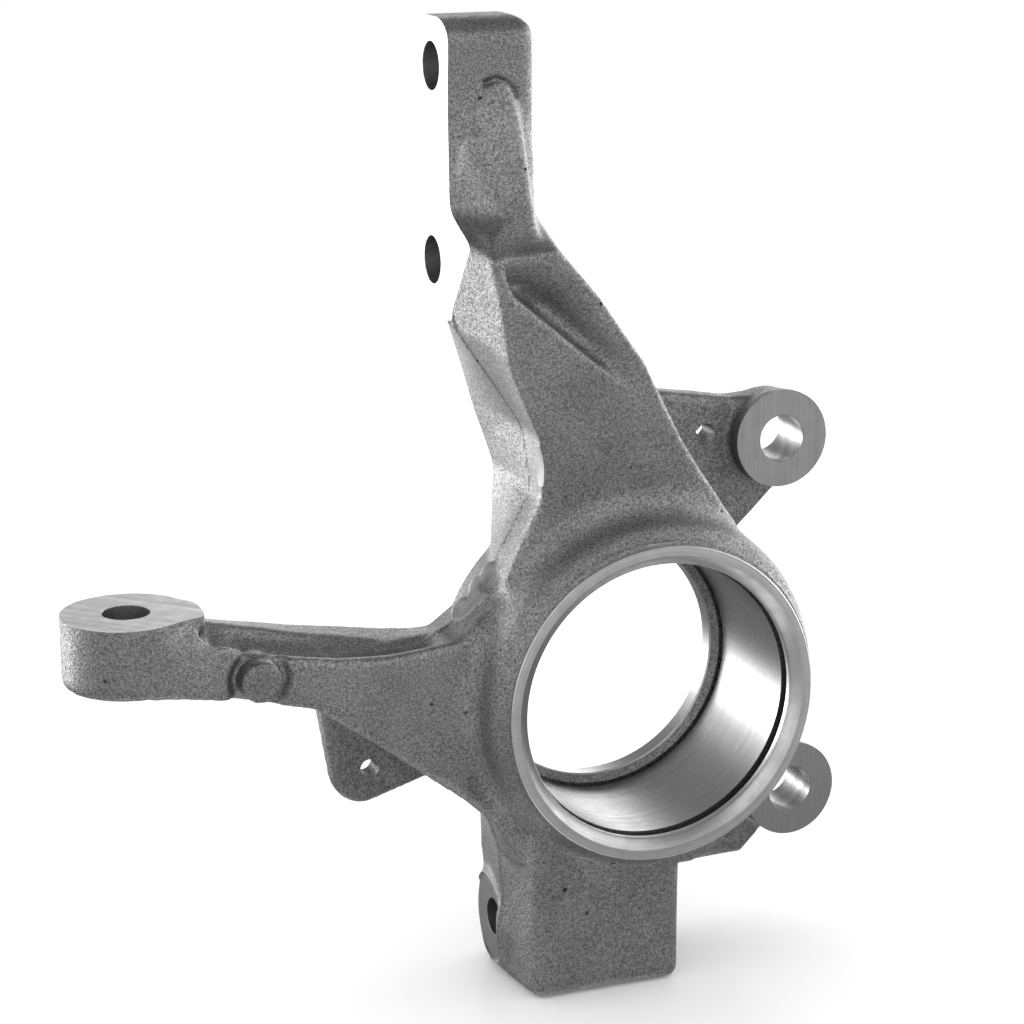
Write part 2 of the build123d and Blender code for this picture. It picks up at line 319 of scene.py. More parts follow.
class Tree:
    """Short calls to add and link nodes in one tree."""

    def __init__(self, tree: bpy.types.NodeTree) -> None:
        """Keeps the tree that the nodes go into."""
        self.tree = tree

    def add(self, kind: str, values: dict | None = None, **settings: object) -> bpy.types.Node:
        """Adds a node.

        Args:
            kind: Its type's name.
            values: Socket name or number to a value, or to a socket to link from.
            settings: Properties of the node.

        Returns:
            The node.
        """
        node = self.tree.nodes.new(kind)
        for key, value in settings.items():
            setattr(node, key, value)
        for key, value in (values or {}).items():
            if isinstance(value, bpy.types.NodeSocket):
                self.tree.links.new(value, node.inputs[key])
            else:
                node.inputs[key].default_value = value
        return node

    def math(self, operation: str, *values: object) -> bpy.types.NodeSocket:
        """Adds a Math node and returns its output."""
        return self.add("ShaderNodeMath", dict(enumerate(values)), operation=operation).outputs[0]

    def ramp(self, fac: bpy.types.NodeSocket, *stops: tuple[float, float]) -> bpy.types.NodeSocket:
        """A soft grey ramp through the given places and values.

        Args:
            fac: The driving socket.
            stops: Pairs of place and value.

        Returns:
            The ramp's colour output.
        """
        node = self.add("ShaderNodeValToRGB", {0: fac})
        band = node.color_ramp
        band.interpolation = "EASE"
        while len(band.elements) < len(stops):
            band.elements.new(0.5)
        for element, (place, value) in zip(band.elements, stops):
            element.position = place
            element.color = (value, value, value, 1.0)
        return node.outputs[0]


def geometry_tree(name: str, inputs: dict[str, tuple[str, object]]) -> tuple[Tree, bpy.types.Node]:
    """Starts a geometry node tree with a mesh, the given inputs and a material.

    Args:
        name: Name of the tree.
        inputs: Name of each input to its socket type and first value.

    Returns:
        The tree and its input node.
    """
    tree = bpy.data.node_groups.new(name, "GeometryNodeTree")
    tree.interface.new_socket("Geometry", in_out="INPUT", socket_type="NodeSocketGeometry")
    for socket, (kind, value) in inputs.items():
        made = tree.interface.new_socket(socket, in_out="INPUT", socket_type=kind)
        made.default_value = value
    tree.interface.new_socket("Material", in_out="INPUT", socket_type="NodeSocketMaterial")
    tree.interface.new_socket("Geometry", in_out="OUTPUT", socket_type="NodeSocketGeometry")
    work = Tree(tree)
    return work, work.add("NodeGroupInput")


def finish_tree(work: Tree, given: bpy.types.Node, geometry: bpy.types.NodeSocket) -> bpy.types.NodeTree:
    """Ends a geometry node tree in real geometry with its material.

    Args:
        work: The tree.
        given: Its input node.
        geometry: The geometry that it ends in.

    Returns:
        The finished tree.
    """
    real = work.add("GeometryNodeRealizeInstances", {"Geometry": geometry})
    dressed = work.add("GeometryNodeSetMaterial", {"Geometry": real.outputs[0], "Material": given.outputs["Material"]})
    work.add("NodeGroupOutput", {"Geometry": dressed.outputs[0]})
    return work.tree


def run_tree(item: bpy.types.Object, tree: bpy.types.NodeTree, values: dict[str, object]) -> bpy.types.Object:
    """Runs a geometry node tree on an object and keeps the result as its mesh.

    Args:
        item: The object.
        tree: The tree.
        values: Input name to value.

    Returns:
        The same object.
    """
    step = item.modifiers.new(tree.name, "NODES")
    step.node_group = tree
    for socket in tree.interface.items_tree:
        if socket.in_out == "INPUT" and socket.name in values:
            step[socket.identifier] = values[socket.name]
    return applied(item)


def uneven_tree() -> bpy.types.NodeTree:
    """Moves a surface gently in and out, as sand castings are never quite even.

    Returns:
        The tree.
    """
    work, given = geometry_tree("uneven_skin", {"Amount": ("NodeSocketFloat", 0.0002),
                                                "Scale": ("NodeSocketFloat", 70.0),
                                                "Seed": ("NodeSocketFloat", 3.0)})
    place = work.add("GeometryNodeInputPosition").outputs[0]
    wave = work.add("ShaderNodeTexNoise", {"Vector": place, "W": given.outputs["Seed"], "Detail": 2.0,
                                           "Scale": given.outputs["Scale"]}, noise_dimensions="4D").outputs[0]
    lift = work.math("MULTIPLY", work.math("SUBTRACT", wave, 0.56), given.outputs["Amount"])
    normal = work.add("GeometryNodeInputNormal").outputs[0]
    move = work.add("ShaderNodeVectorMath", {0: normal, "Scale": lift}, operation="SCALE").outputs[0]
    moved = work.add("GeometryNodeSetPosition", {"Geometry": given.outputs["Geometry"], "Offset": move})
    return finish_tree(work, given, moved.outputs[0])


def pit_tree() -> bpy.types.NodeTree:
    """Scatters small round pits over the faces.

    Returns:
        The tree.
    """
    work, given = geometry_tree("casting_pits", {"Spacing": ("NodeSocketFloat", 0.012),
                                                 "Density": ("NodeSocketFloat", 900.0),
                                                 "Radius": ("NodeSocketFloat", 0.0005),
                                                 "Seed": ("NodeSocketInt", 5)})
    spread = work.add("GeometryNodeDistributePointsOnFaces", {
        "Mesh": given.outputs["Geometry"], "Distance Min": given.outputs["Spacing"],
        "Density Max": given.outputs["Density"], "Seed": given.outputs["Seed"]}, distribute_method="POISSON")
    ball = work.add("GeometryNodeMeshIcoSphere", {"Radius": given.outputs["Radius"], "Subdivisions": 2})
    size = work.add("FunctionNodeRandomValue", {2: 0.5, 3: 1.1, "Seed": given.outputs["Seed"]}, data_type="FLOAT")
    placed = work.add("GeometryNodeInstanceOnPoints", {
        "Points": spread.outputs["Points"], "Instance": ball.outputs[0], "Scale": size.outputs[1]})
    return finish_tree(work, given, placed.outputs[0])


def placed_pit_tree() -> bpy.types.NodeTree:
    """Puts a round pit at each point, with the point's radius.

    Returns:
        The tree.
    """
    work, given = geometry_tree("placed_pits", {})
    ball = work.add("GeometryNodeMeshIcoSphere", {"Radius": 1.0, "Subdivisions": 3})
    radius = work.add("GeometryNodeInputNamedAttribute", {"Name": "radius"}, data_type="FLOAT").outputs[0]
    placed = work.add("GeometryNodeInstanceOnPoints", {
        "Points": given.outputs["Geometry"], "Instance": ball.outputs[0], "Scale": radius})
    return finish_tree(work, given, placed.outputs[0])


def turned_instances(work: Tree, given: bpy.types.Node, tool: bpy.types.NodeSocket,
                     size: bpy.types.NodeSocket | None) -> bpy.types.NodeTree:
    """Ends a tree in a tool at each point, turned as the point says.

    Args:
        work: The tree.
        given: Its input node.
        tool: The tool's mesh, along +Z from its start.
        size: Scale of the tool, or None.

    Returns:
        The finished tree.
    """
    angles = work.add("GeometryNodeInputNamedAttribute", {"Name": "turn"}, data_type="FLOAT_VECTOR").outputs[0]
    turn = work.add("FunctionNodeEulerToRotation", {0: angles}).outputs[0]
    values = {"Points": given.outputs["Geometry"], "Instance": tool, "Rotation": turn}
    if size:
        values["Scale"] = size
    return finish_tree(work, given, work.add("GeometryNodeInstanceOnPoints", values).outputs[0])


def drill_tree() -> bpy.types.NodeTree:
    """Puts a drill from each point on, with the point's radius and length.

    Returns:
        The tree.
    """
    work, given = geometry_tree("drills", {"Sides": ("NodeSocketInt", 96)})
    drill = work.add("GeometryNodeMeshCone", {"Vertices": given.outputs["Sides"], "Radius Top": 1.0,
                                              "Radius Bottom": 1.0, "Depth": 1.0})
    radius = work.add("GeometryNodeInputNamedAttribute", {"Name": "radius"}, data_type="FLOAT").outputs[0]
    length = work.add("GeometryNodeInputNamedAttribute", {"Name": "length"}, data_type="FLOAT").outputs[0]
    size = work.add("ShaderNodeCombineXYZ", {0: radius, 1: radius, 2: length}).outputs[0]
    return turned_instances(work, given, drill.outputs["Mesh"], size)


def rim_tree() -> bpy.types.NodeTree:
    """Puts a blunt cone at each hole's end that breaks its edge.

    Returns:
        The tree.
    """
    work, given = geometry_tree("rim_cutters", {"Sides": ("NodeSocketInt", 96)})
    cone = work.add("GeometryNodeMeshCone", {"Vertices": given.outputs["Sides"], "Radius Top": 0.7,
                                             "Radius Bottom": 1.4, "Depth": 0.7})
    radius = work.add("GeometryNodeInputNamedAttribute", {"Name": "radius"}, data_type="FLOAT").outputs[0]
    return turned_instances(work, given, cone.outputs["Mesh"], radius)


def thread_tree() -> bpy.types.NodeTree:
    """Puts a ring with a pointed section at each point, as one turn of a thread.

    Returns:
        The tree.
    """
    work, given = geometry_tree("thread_cutters", {"Radius": ("NodeSocketFloat", 0.0026),
                                                   "Depth": ("NodeSocketFloat", 0.0004)})
    ring = work.add("GeometryNodeCurvePrimitiveCircle", {"Resolution": 64, "Radius": given.outputs["Radius"]})
    section = work.add("GeometryNodeCurvePrimitiveCircle", {"Resolution": 4, "Radius": given.outputs["Depth"]})
    made = work.add("GeometryNodeCurveToMesh", {"Curve": ring.outputs["Curve"],
                                                "Profile Curve": section.outputs["Curve"]})
    return turned_instances(work, given, made.outputs[0], None)


@dataclass(frozen=True)
class Zone:
    """A soft-edged box, in millimetres, in which one radius holds; it may be a tube along Y instead."""

    radius: float
    low: Point3
    high: Point3
    soft: float = 4.0
    around: Point2 | None = None
    inner: float = 0.0
    outer: float = 0.0

    def share(self, grid: DistanceGrid) -> np.ndarray:
        """How much of the zone's radius holds at each sample.

        Args:
            grid: The grid of the samples.

        Returns:
            The share from 0 to 1.
        """
        part = 1.0
        for n in range(3):
            place = grid.axis(n)
            part = part * smooth(place, self.low[n] - self.soft, self.low[n])
            part = part * smooth(place, self.high[n] + self.soft, self.high[n])
        if self.around:
            across = np.sqrt((grid.axis(0) - self.around[0]) ** 2 + (grid.axis(2) - self.around[1]) ** 2)
            part = part * smooth(across, self.outer + self.soft, self.outer)
            part = part * (smooth(across, self.inner - self.soft, self.inner) if self.inner > 0.0 else 1.0)
        return part.astype(np.float32)


FAR = 400.0
LOW, HIGH = (-FAR, -FAR, -FAR), (FAR, FAR, FAR)
SHARP, FINE, FULL, LARGE = 0.0, 0.8, 4.0, 6.5
EDGE = 2.6
FILLETS = (
    # Above the collar, and the lip itself
    Zone(LARGE, (-FAR, 8.0, -26.0), (FAR, 24.0, FAR), 4.0, (0.0, 0.0), 48.0, 64.0),
    Zone(SHARP, LOW, (FAR, 3.0, FAR), 2.0, (0.0, 0.0), 40.0, 50.0),
    # The steering arm's root, the ball-joint boss's neck and the foot of the tongue's left slope
    Zone(FULL, (-58.0, 9.0, -24.0), (-38.0, 30.0, 34.0), 6.0),
    Zone(FULL, (-34.0, 0.0, -60.0), (12.0, 12.0, -44.0), 4.0),
    Zone(FULL, (-56.0, 0.0, 128.0), (-43.0, 28.0, 146.0), 3.0),
    # The tongue's arched top and right side, the pocket's rim, and its softer bottom
    Zone(FINE, (-47.0, 10.0, 148.0), (-33.0, 30.0, 168.0), 2.0),
    Zone(FINE, (-37.0, -FAR, 118.0), (-22.0, FAR, 166.0), 2.0),
    Zone(FINE, (-56.0, -FAR, 76.0), (-2.0, 26.0, 124.0), 2.0),
    Zone(2.2, (-38.0, -FAR, 70.0), (6.0, 20.0, 110.0), 3.0),
    # The locator pip and the feet of the caliper pads
    Zone(SHARP, LOW, (FAR, 22.0, FAR), 2.0, PIP, 0.0, 9.5),
    Zone(FINE, (-FAR, 29.0, -FAR), (FAR, 40.0, FAR), 2.0, UPPER_LUG, 0.0, 16.0),
    Zone(FINE, (-FAR, 29.0, -FAR), (FAR, 40.0, FAR), 2.0, LOWER_LUG, 0.0, 16.0),
)
ROUNDINGS = (
    # The strut flange's top and far edge, the ball-joint boss and the tie boss's underside
    Zone(EDGE, (-FAR, -FAR, 164.0), HIGH, 4.0),
    Zone(EDGE, (-32.0, 26.0, 136.0), HIGH, 4.0),
    Zone(EDGE, LOW, (FAR, FAR, -56.0), 4.0),
    Zone(EDGE, (-150.0, -FAR, 0.0), (-126.0, FAR, 22.0), 4.0),
    # The steering arm's ridges, the tongue's left and right edges, and the pocket's rim
    Zone(FINE, (-122.0, 4.0, 8.0), (-48.0, 42.0, 32.0), 4.0),
    Zone(EDGE, (-56.0, 10.0, 128.0), (-42.0, 30.0, 152.0), 2.0),
    Zone(FINE, (-40.0, 10.0, 112.0), (-30.0, 30.0, 160.0), 2.0),
    Zone(FINE, (-54.0, -FAR, 76.0), (-2.0, 14.0, 119.0), 2.0),
)


@dataclass(frozen=True)
class Groove:
    """A round-bottomed groove along a line of points, in millimetres, that starts at a given x if it has one."""

    points: tuple[Point3, ...]
    radius: float
    from_x: float | None = None

    def distance(self, grid: DistanceGrid) -> np.ndarray:
        """Distances to the groove's tube.

        Args:
            grid: The grid of the samples.

        Returns:
            The distances, negative inside.
        """
        best = None
        for start, end in zip(self.points, self.points[1:]):
            way = np.array(end) - np.array(start)
            away = [grid.axis(n) - start[n] for n in range(3)]
            part = sum(away[n] * way[n] for n in range(3)) / float(way @ way)
            part = np.clip(part, 0.0, 1.0)
            near = np.sqrt(sum((away[n] - part * way[n]) ** 2 for n in range(3)))
            best = near if best is None else np.minimum(best, near)
        tube = best - self.radius
        if self.from_x is not None:
            tube = np.maximum(tube, self.from_x - grid.axis(0))
        return tube.astype(np.float32)


# The channel's end at the tie boss, two scoops in its near ridge, and the bowl round the pip
GROOVES = (
    Groove(((-118.0, 21.5, 33.0), (-96.0, 21.5, 27.6)), 9.0, -117.2),
    Groove(((-129.3, 10.6, 31.2), (-123.0, 12.4, 29.2)), 1.6),
    Groove(((-124.5, 13.0, 28.8), (-110.0, 16.0, 25.6)), 3.1),
    Groove(((PIP[0], 7.5, PIP[1]), (PIP[0], 7.6, PIP[1])), 9.2),
)
CREASE = Groove(((-39.8, 25.2, 160.0), (-36.7, 25.0, 161.1), (-33.3, 25.0, 159.7), (-31.6, 25.0, 156.8)), 0.85)
# Outlines of the tongue's top and of the solid's own pocket, in (x, z)
ARCH = ((-49.9, 131.0), (-47.4, 141.0), (-45.2, 150.0), (-42.6, 156.0), (-40.2, 159.2), (-36.7, 160.8),
        (-33.6, 159.4), (-31.6, 156.0), (-30.6, 150.0), (-28.6, 138.0), (-27.4, 131.0))
OLD_MOUTH = ((-46.5, 119.8), (-27.0, 119.0), (-7.0, 86.0), (-8.0, 77.5), (-41.5, 109.0))


@dataclass(frozen=True)
class Cut:
    """A hollow bounded by planes, each through three points in millimetres, around a point inside it."""

    inside: Point3
    planes: tuple[tuple[Point3, Point3, Point3], ...]

    def distance(self, grid: DistanceGrid) -> np.ndarray:
        """Distances to the hollow.

        Args:
            grid: The grid of the samples.

        Returns:
            The distances, negative inside.
        """
        hollow = None
        for first, second, third in self.planes:
            way = np.cross(np.subtract(second, first), np.subtract(third, first))
            way = way / np.linalg.norm(way)
            way = -way if way @ np.subtract(self.inside, first) > 0.0 else way
            side = sum((grid.axis(n) - first[n]) * way[n] for n in range(3))
            hollow = side if hollow is None else np.maximum(hollow, side)
        return hollow.astype(np.float32)


POCKET = Cut((-25.0, 2.0, 104.0), (
    ((-43.6, 3.4, 118.4), (-27.7, 3.8, 116.8), (-31.0, 14.5, 105.0)),
    ((-28.5, 4.0, 116.6), (2.0, 8.6, 75.0), (-31.0, 14.5, 105.0)),
    ((-43.6, 0.0, 118.0), (-40.5, 0.0, 110.3), (-43.3, 14.0, 118.0)),
    ((-40.5, 0.0, 110.3), (2.0, 0.0, 75.0), (-40.2, 14.0, 110.7))))
BEVEL = Cut((-52.0, 5.0, 110.0), (
    ((-49.5, 11.7, 119.6), (-49.5, 24.9, 101.6), (-43.3, 6.0, 101.6)),
    ((-60.0, 0.0, 121.2), (-40.0, 0.0, 121.2), (-50.0, 20.0, 121.2)),
    ((-60.0, 0.0, 92.0), (-40.0, 0.0, 92.0), (-50.0, 20.0, 92.0)),
    ((-60.0, 27.0, 90.0), (-40.0, 27.0, 90.0), (-50.0, 27.0, 120.0))))
RIDGE_SLOPE = ((-129.2, 9.0, 32.5), (-109.9, 9.0, 26.2), (-119.5, 12.0, 28.3))
RIDGE_END = ((-105.0, 0.0, 20.0), (-105.0, 10.0, 20.0), (-105.0, 0.0, 40.0))
NEAR_RIDGE = Cut((-122.0, 7.0, 33.0), (
    RIDGE_SLOPE,
    ((-131.2, 8.0, 34.1), (-119.6, 13.0, 34.1), (-131.2, 8.0, 20.0)),
    RIDGE_END))
FAR_RIDGE = Cut((-114.0, 12.0, 33.0), (
    RIDGE_SLOPE,
    ((-119.9, 10.2, 34.1), (-115.4, 24.0, 34.1), (-119.9, 10.2, 20.0)),
    RIDGE_END,
    ((-119.0, 24.0, 20.0), (-105.0, 24.0, 20.0), (-105.0, 24.0, 40.0))))
CUTS = (POCKET, BEVEL, NEAR_RIDGE, FAR_RIDGE)


@dataclass(frozen=True)
class Lump:
    """A flat petal of flash left on the casting, as an ellipsoid in millimetres."""

    centre: Point3
    radii: Point3
    turn: float

    def distance(self, grid: DistanceGrid) -> np.ndarray:
        """Rough distances to the lump, which leans by its turn in the plane across Y.

        Args:
            grid: The grid of the samples.

        Returns:
            The distances, negative inside.
        """
        x, y, z = (grid.axis(n) - self.centre[n] for n in range(3))
        sine, cosine = math.sin(self.turn), math.cos(self.turn)
        along, across = cosine * x + sine * z, cosine * z - sine * x
        reach = np.sqrt((along / self.radii[0]) ** 2 + (y / self.radii[1]) ** 2 + (across / self.radii[2]) ** 2)
        return ((reach - 1.0) * min(self.radii)).astype(np.float32)


LUMPS = (
    Lump((-47.0, 24.0, 25.0), (2.4, 1.4, 3.8), -0.9),
    Lump((-43.6, 24.0, 29.0), (1.9, 1.3, 4.4), -0.2),
    Lump((-40.0, 23.6, 33.6), (2.2, 1.5, 3.6), -0.5),
)


@dataclass
class CastBlank:
    """The rough casting: the solid with stock on its machined faces, its holes filled, fillets and roundings."""

    margin: float = 9.0
    fillet_radius: float = 2.2
    round_radius: float = 1.4
    stock: float = 3.5
    lip_radius: float = 43.0
    pad_radius: float = 13.5
    parting_y: float = 24.0
    flash_height: float = 0.55
    flash_width: float = 0.45
    uneven: float = 0.22
    triangles: int = 166000

    def build(self) -> bpy.types.Object:
        """Makes the rough casting.

        Returns:
            The casting's object, with one material slot index throughout.
        """
        solid = self.merged_copy()
        points = from_frame(np.array([v.co for v in solid.data.vertices], dtype=np.float64))
        faces = np.array([p.vertices for p in solid.data.polygons], dtype=np.uint32)
        remove(solid)
        grid = DistanceGrid(points.min(0) - self.margin, points.max(0) + self.margin)
        log.info("blank grid %s", grid.shape)
        values = grid.sampled(points, faces, None, grid.reach + 2.0)
        values = grid.true(self.with_stock(grid, values))
        values = grid.true(self.by_zone(grid, values, grid.closed, self.fillet_radius, FILLETS))
        values = self.by_zone(grid, values, grid.opened, self.round_radius, ROUNDINGS)
        values = np.maximum(values, -CREASE.distance(grid))
        values = self.with_flash(grid, values)
        points, quads = grid.surface(values)
        blank = mesh_object("casting_blank", points, quads[:, ::-1])
        log.info("blank quads %d", len(quads))
        return self.thinned(blank)

    @staticmethod
    def merged_copy() -> bpy.types.Object:
        """A copy of the frame's solid with its doubled points merged."""
        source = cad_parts[NODE]
        copy = bpy.data.objects.new("solid_copy", source.data.copy())
        bpy.context.scene.collection.objects.link(copy)
        work = bmesh.new()
        work.from_mesh(copy.data)
        bmesh.ops.remove_doubles(work, verts=work.verts, dist=1e-7)
        bmesh.ops.triangulate(work, faces=work.faces)
        work.to_mesh(copy.data)
        work.free()
        return copy

    def with_stock(self, grid: DistanceGrid, values: np.ndarray) -> np.ndarray:
        """Leaves metal on the machined faces and fills the holes.

        Args:
            grid: The grid of the values.
            values: Distances to the finished solid.

        Returns:
            Distances to the solid before machining.
        """
        x, y, z = (grid.axis(n) for n in range(3))
        seat = grid.index(0, STRUT_X + 0.6)
        arm_foot = grid.index(2, 92.0)
        cap = STRUT_X - self.stock
        values[:seat, :, arm_foot:] = np.maximum(values[seat:seat + 1, :, arm_foot:], cap - x[:seat])
        top = grid.index(2, TIE_Z - 1.0)
        boss_end = grid.index(0, -118.5)
        values[:boss_end, :, top:] = np.maximum(values[:boss_end, :, top:top + 1],
                                                z[:, :, top:] - TIE_Z - self.stock)
        values = np.minimum(values, grid.rod(1, (0.0, 0.0), self.lip_radius + 0.3, -self.stock, 1.0))
        for place in (UPPER_LUG, LOWER_LUG):
            values = np.minimum(values, grid.rod(1, place, self.pad_radius, PAD_Y - self.stock, PAD_Y + 3.0))
            values = np.minimum(values, grid.rod(1, place, 9.0, PAD_Y, 46.5))
        ear_cap = -37.5
        plugs = (
            grid.rod(1, (0.0, 0.0), 41.0, -self.stock, 49.0), grid.rod(1, (0.0, 0.0), 37.0, 40.0, 50.0),
            grid.rod(0, STRUT_HOLES[0], 8.5, cap, -26.1), grid.rod(0, STRUT_HOLES[1], 8.5, cap, -30.0),
            grid.rod(2, TIE_HOLE, 8.5, 15.5, TIE_Z + self.stock),
            grid.rod(1, UPPER_SHIELD, 4.0, TAB_Y, 46.5), grid.rod(1, LOWER_SHIELD, 4.0, TAB_Y, 45.2),
            grid.rod(2, STUD_BORE, 11.5, BOSS_Z, -48.0), grid.bar((-15.0, 30.0, BOSS_Z), (-9.0, 45.9, -44.0)),
            grid.rod(0, PINCH_HOLE, 7.0, ear_cap, 9.2), grid.rod(0, PINCH_HOLE, 12.0, ear_cap, -33.0))
        for plug in plugs:
            values = np.minimum(values, plug)
        near = np.interp(z, [68.0, 82.0, 95.0, 110.0], [10.0, 7.5, 4.5, 2.5])
        plug = np.maximum(np.maximum(near - y, y - 18.0), grid.prism(OLD_MOUTH))
        values = np.minimum(values, plug.astype(np.float32))
        for hollow in GROOVES + CUTS:
            values = np.maximum(values, -hollow.distance(grid))
        values = np.minimum(values, grid.rod(1, PIP, 5.5, 8.8, 22.0))
        around = np.maximum(np.maximum(y - 24.9, 133.0 - z), -grid.prism(ARCH))
        values = np.maximum(values, -around).astype(np.float32)
        return self.with_collar(grid, self.with_slope(grid, values))

    @staticmethod
    def with_slope(grid: DistanceGrid, values: np.ndarray) -> np.ndarray:
        """Lets the tongue's left side fall away gently to the flange.

        Args:
            grid: The grid of the values.
            values: The shape's distances.

        Returns:
            The new shape's distances.
        """
        x, y, z = (grid.axis(n) for n in range(3))
        slope, foot_y, flange_y = 1.3, 8.2, 25.0
        edge = np.clip(foot_y + (z - 121.6) * 2.33, foot_y, flange_y)
        fall = ((edge - y) - slope * (x - STRUT_X)) / math.sqrt(1.0 + slope ** 2)
        here = (z > 121.2) & (z < 164.0) & (x < -36.0) & (y < flange_y + 1.0)
        return np.where(here, np.maximum(values, fall), values).astype(np.float32)

    @staticmethod
    def with_collar(grid: DistanceGrid, values: np.ndarray) -> np.ndarray:
        """Adds the collar's swelling behind the machined lip, fuller on the side of the upright arm.

        Args:
            grid: The grid of the values.
            values: The shape's distances.

        Returns:
            The new shape's distances.
        """
        x, y, z = (grid.axis(n) for n in range(3))
        across = np.sqrt(x ** 2 + z ** 2)
        depths = [0.8, 1.9, 2.9, 3.8, 5.0, 7.0, 11.0, 14.0, 20.0]
        plain = np.interp(y, depths, [42.9, 43.4, 43.9, 44.4, 45.0, 46.0, 47.4, 48.3, 49.0])
        full = np.interp(y, depths, [42.9, 44.6, 46.1, 47.0, 47.7, 48.2, 48.7, 49.0, 49.4])
        towards = smooth((z * 0.94 - x * 0.34) / np.maximum(across, 1.0), -0.3, 0.8)
        swell = plain + (full - plain) * towards
        collar = np.maximum(across - swell, np.maximum(0.8 - y, y - 20.0))
        return np.minimum(values, collar.astype(np.float32))

    @staticmethod
    def by_zone(grid: DistanceGrid, values: np.ndarray, change: Callable[[np.ndarray, float], np.ndarray],
                radius: float, zones: Sequence[Zone]) -> np.ndarray:
        """Fillets or rounds the shape with one radius, and with others inside the zones.

        Args:
            grid: The grid of the values.
            values: The shape's distances.
            change: What is done with a radius, grid.closed or grid.opened.
            radius: The radius outside the zones.
            zones: The zones; a later one holds over an earlier one.

        Returns:
            The new shape's distances.
        """
        made: dict[float, np.ndarray] = {0.0: values}
        mixed = change(values, radius)
        for zone in zones:
            if zone.radius not in made:
                made[zone.radius] = change(values, zone.radius)
            mixed += (made[zone.radius] - mixed) * zone.share(grid)
        return mixed

    def with_flash(self, grid: DistanceGrid, values: np.ndarray) -> np.ndarray:
        """Adds the thin seam on the parting plane and the petals of flash beside the arm's root.

        Args:
            grid: The grid of the values.
            values: Distances to the rounded casting.

        Returns:
            Distances to the casting with its seam.
        """
        x, y, z = (grid.axis(n) for n in range(3))
        level = grid.index(1, self.parting_y)
        height = self.flash_height * smooth(x, -118.0, -104.0) * smooth(z, -78.0, -70.0) * smooth(z, 112.0, 104.0)
        seam = np.maximum(values[:, level:level + 1, :] - height, np.abs(y - self.parting_y) - self.flash_width)
        values = np.minimum(values, seam.astype(np.float32))
        for lump in LUMPS:
            values = np.minimum(values, lump.distance(grid))
        return values

    def thinned(self, blank: bpy.types.Object) -> bpy.types.Object:
        """Thins the blank's mesh evenly with its shape.

        Args:
            blank: The blank as quads.

        Returns:
            The same object as triangles.
        """
        count = 2 * len(blank.data.polygons)
        thin = blank.modifiers.new("thin", "DECIMATE")
        thin.ratio = min(1.0, self.triangles / count)
        thin.use_collapse_triangulate = True
        return applied(blank)


@dataclass
class TurnedTool:
    """A tool turned round one axis: a closed profile that is cut out of the blank."""

    name: str
    profile: list[Point2]
    finishes: list[Surface]
    centre: Point3 = (0.0, 0.0, 0.0)
    axis: int = 1
    segments: int = 256

    def build(self) -> bpy.types.Object:
        """Turns the profile.

        Returns:
            A closed object whose faces carry the slot number of their finish.
        """
        around = [n for n in range(3) if n != self.axis]
        turn = np.arange(self.segments) * 2 * math.pi / self.segments
        rings: list[list[int]] = []
        points: list[np.ndarray] = []
        for radius, place in self.profile:
            if radius < 1e-6:
                points.append(self.place(around, 0.0, 0.0, place))
                rings.append([len(points) - 1])
                continue
            rings.append(list(range(len(points), len(points) + self.segments)))
            points.extend(self.place(around, radius * math.cos(t), radius * math.sin(t), place) for t in turn)
        faces: list[list[int]] = []
        slots: list[int] = []
        for first, second, finish in zip(rings, rings[1:], self.finishes):
            for k in range(self.segments):
                n = (k + 1) % self.segments
                corners = [first[k % len(first)], first[n % len(first)], second[n % len(second)],
                           second[k % len(second)]]
                faces.append(list(dict.fromkeys(corners)))
                slots.append(finish.value)
        tool = mesh_object(self.name, np.array(points), faces)
        tool.data.polygons.foreach_set("material_index", slots)
        return outward(tool)

    def place(self, around: list[int], first: float, second: float, along: float) -> np.ndarray:
        """A point of the turned shape.

        Args:
            around: Numbers of the two axes across the turning axis.
            first: Distance from the centre on the first of them.
            second: Distance on the second.
            along: Distance on the turning axis.

        Returns:
            The point in millimetres.
        """
        point = np.array(self.centre, dtype=float)
        point[around[0]] += first
        point[around[1]] += second
        point[self.axis] += along
        return point


def outward(item: bpy.types.Object) -> bpy.types.Object:
    """Points a closed mesh's faces outwards.

    Args:
        item: The mesh's object.

    Returns:
        The same object.
    """
    work = bmesh.new()
    work.from_mesh(item.data)
    bmesh.ops.recalc_face_normals(work, faces=work.faces)
    work.to_mesh(item.data)
    work.free()
    return item


def prism_tool(name: str, outline: Sequence[Point2], axis: int, start: float, end: float,
               finish: Surface) -> bpy.types.Object:
    """A tool with one outline along an axis.

    Args:
        name: Name of the tool.
        outline: Its corners on the other two axes, in their order, in millimetres.
        axis: 0, 1 or 2.
        start: Where it starts on the axis.
        end: Where it ends.
        finish: The finish that it leaves.

    Returns:
        The tool's object.
    """
    around = [n for n in range(3) if n != axis]
    points = np.zeros((2 * len(outline), 3))
    for number, place in enumerate((start, end)):
        rows = slice(number * len(outline), (number + 1) * len(outline))
        points[rows, axis] = place
        points[rows, around[0]] = [p[0] for p in outline]
        points[rows, around[1]] = [p[1] for p in outline]
    count = len(outline)
    faces = [list(range(count)), list(range(count, 2 * count))]
    faces += [[k, (k + 1) % count, count + (k + 1) % count, count + k] for k in range(count)]
    tool = mesh_object(name, points, faces)
    tool.data.polygons.foreach_set("material_index", [finish.value] * len(faces))
    return outward(tool)


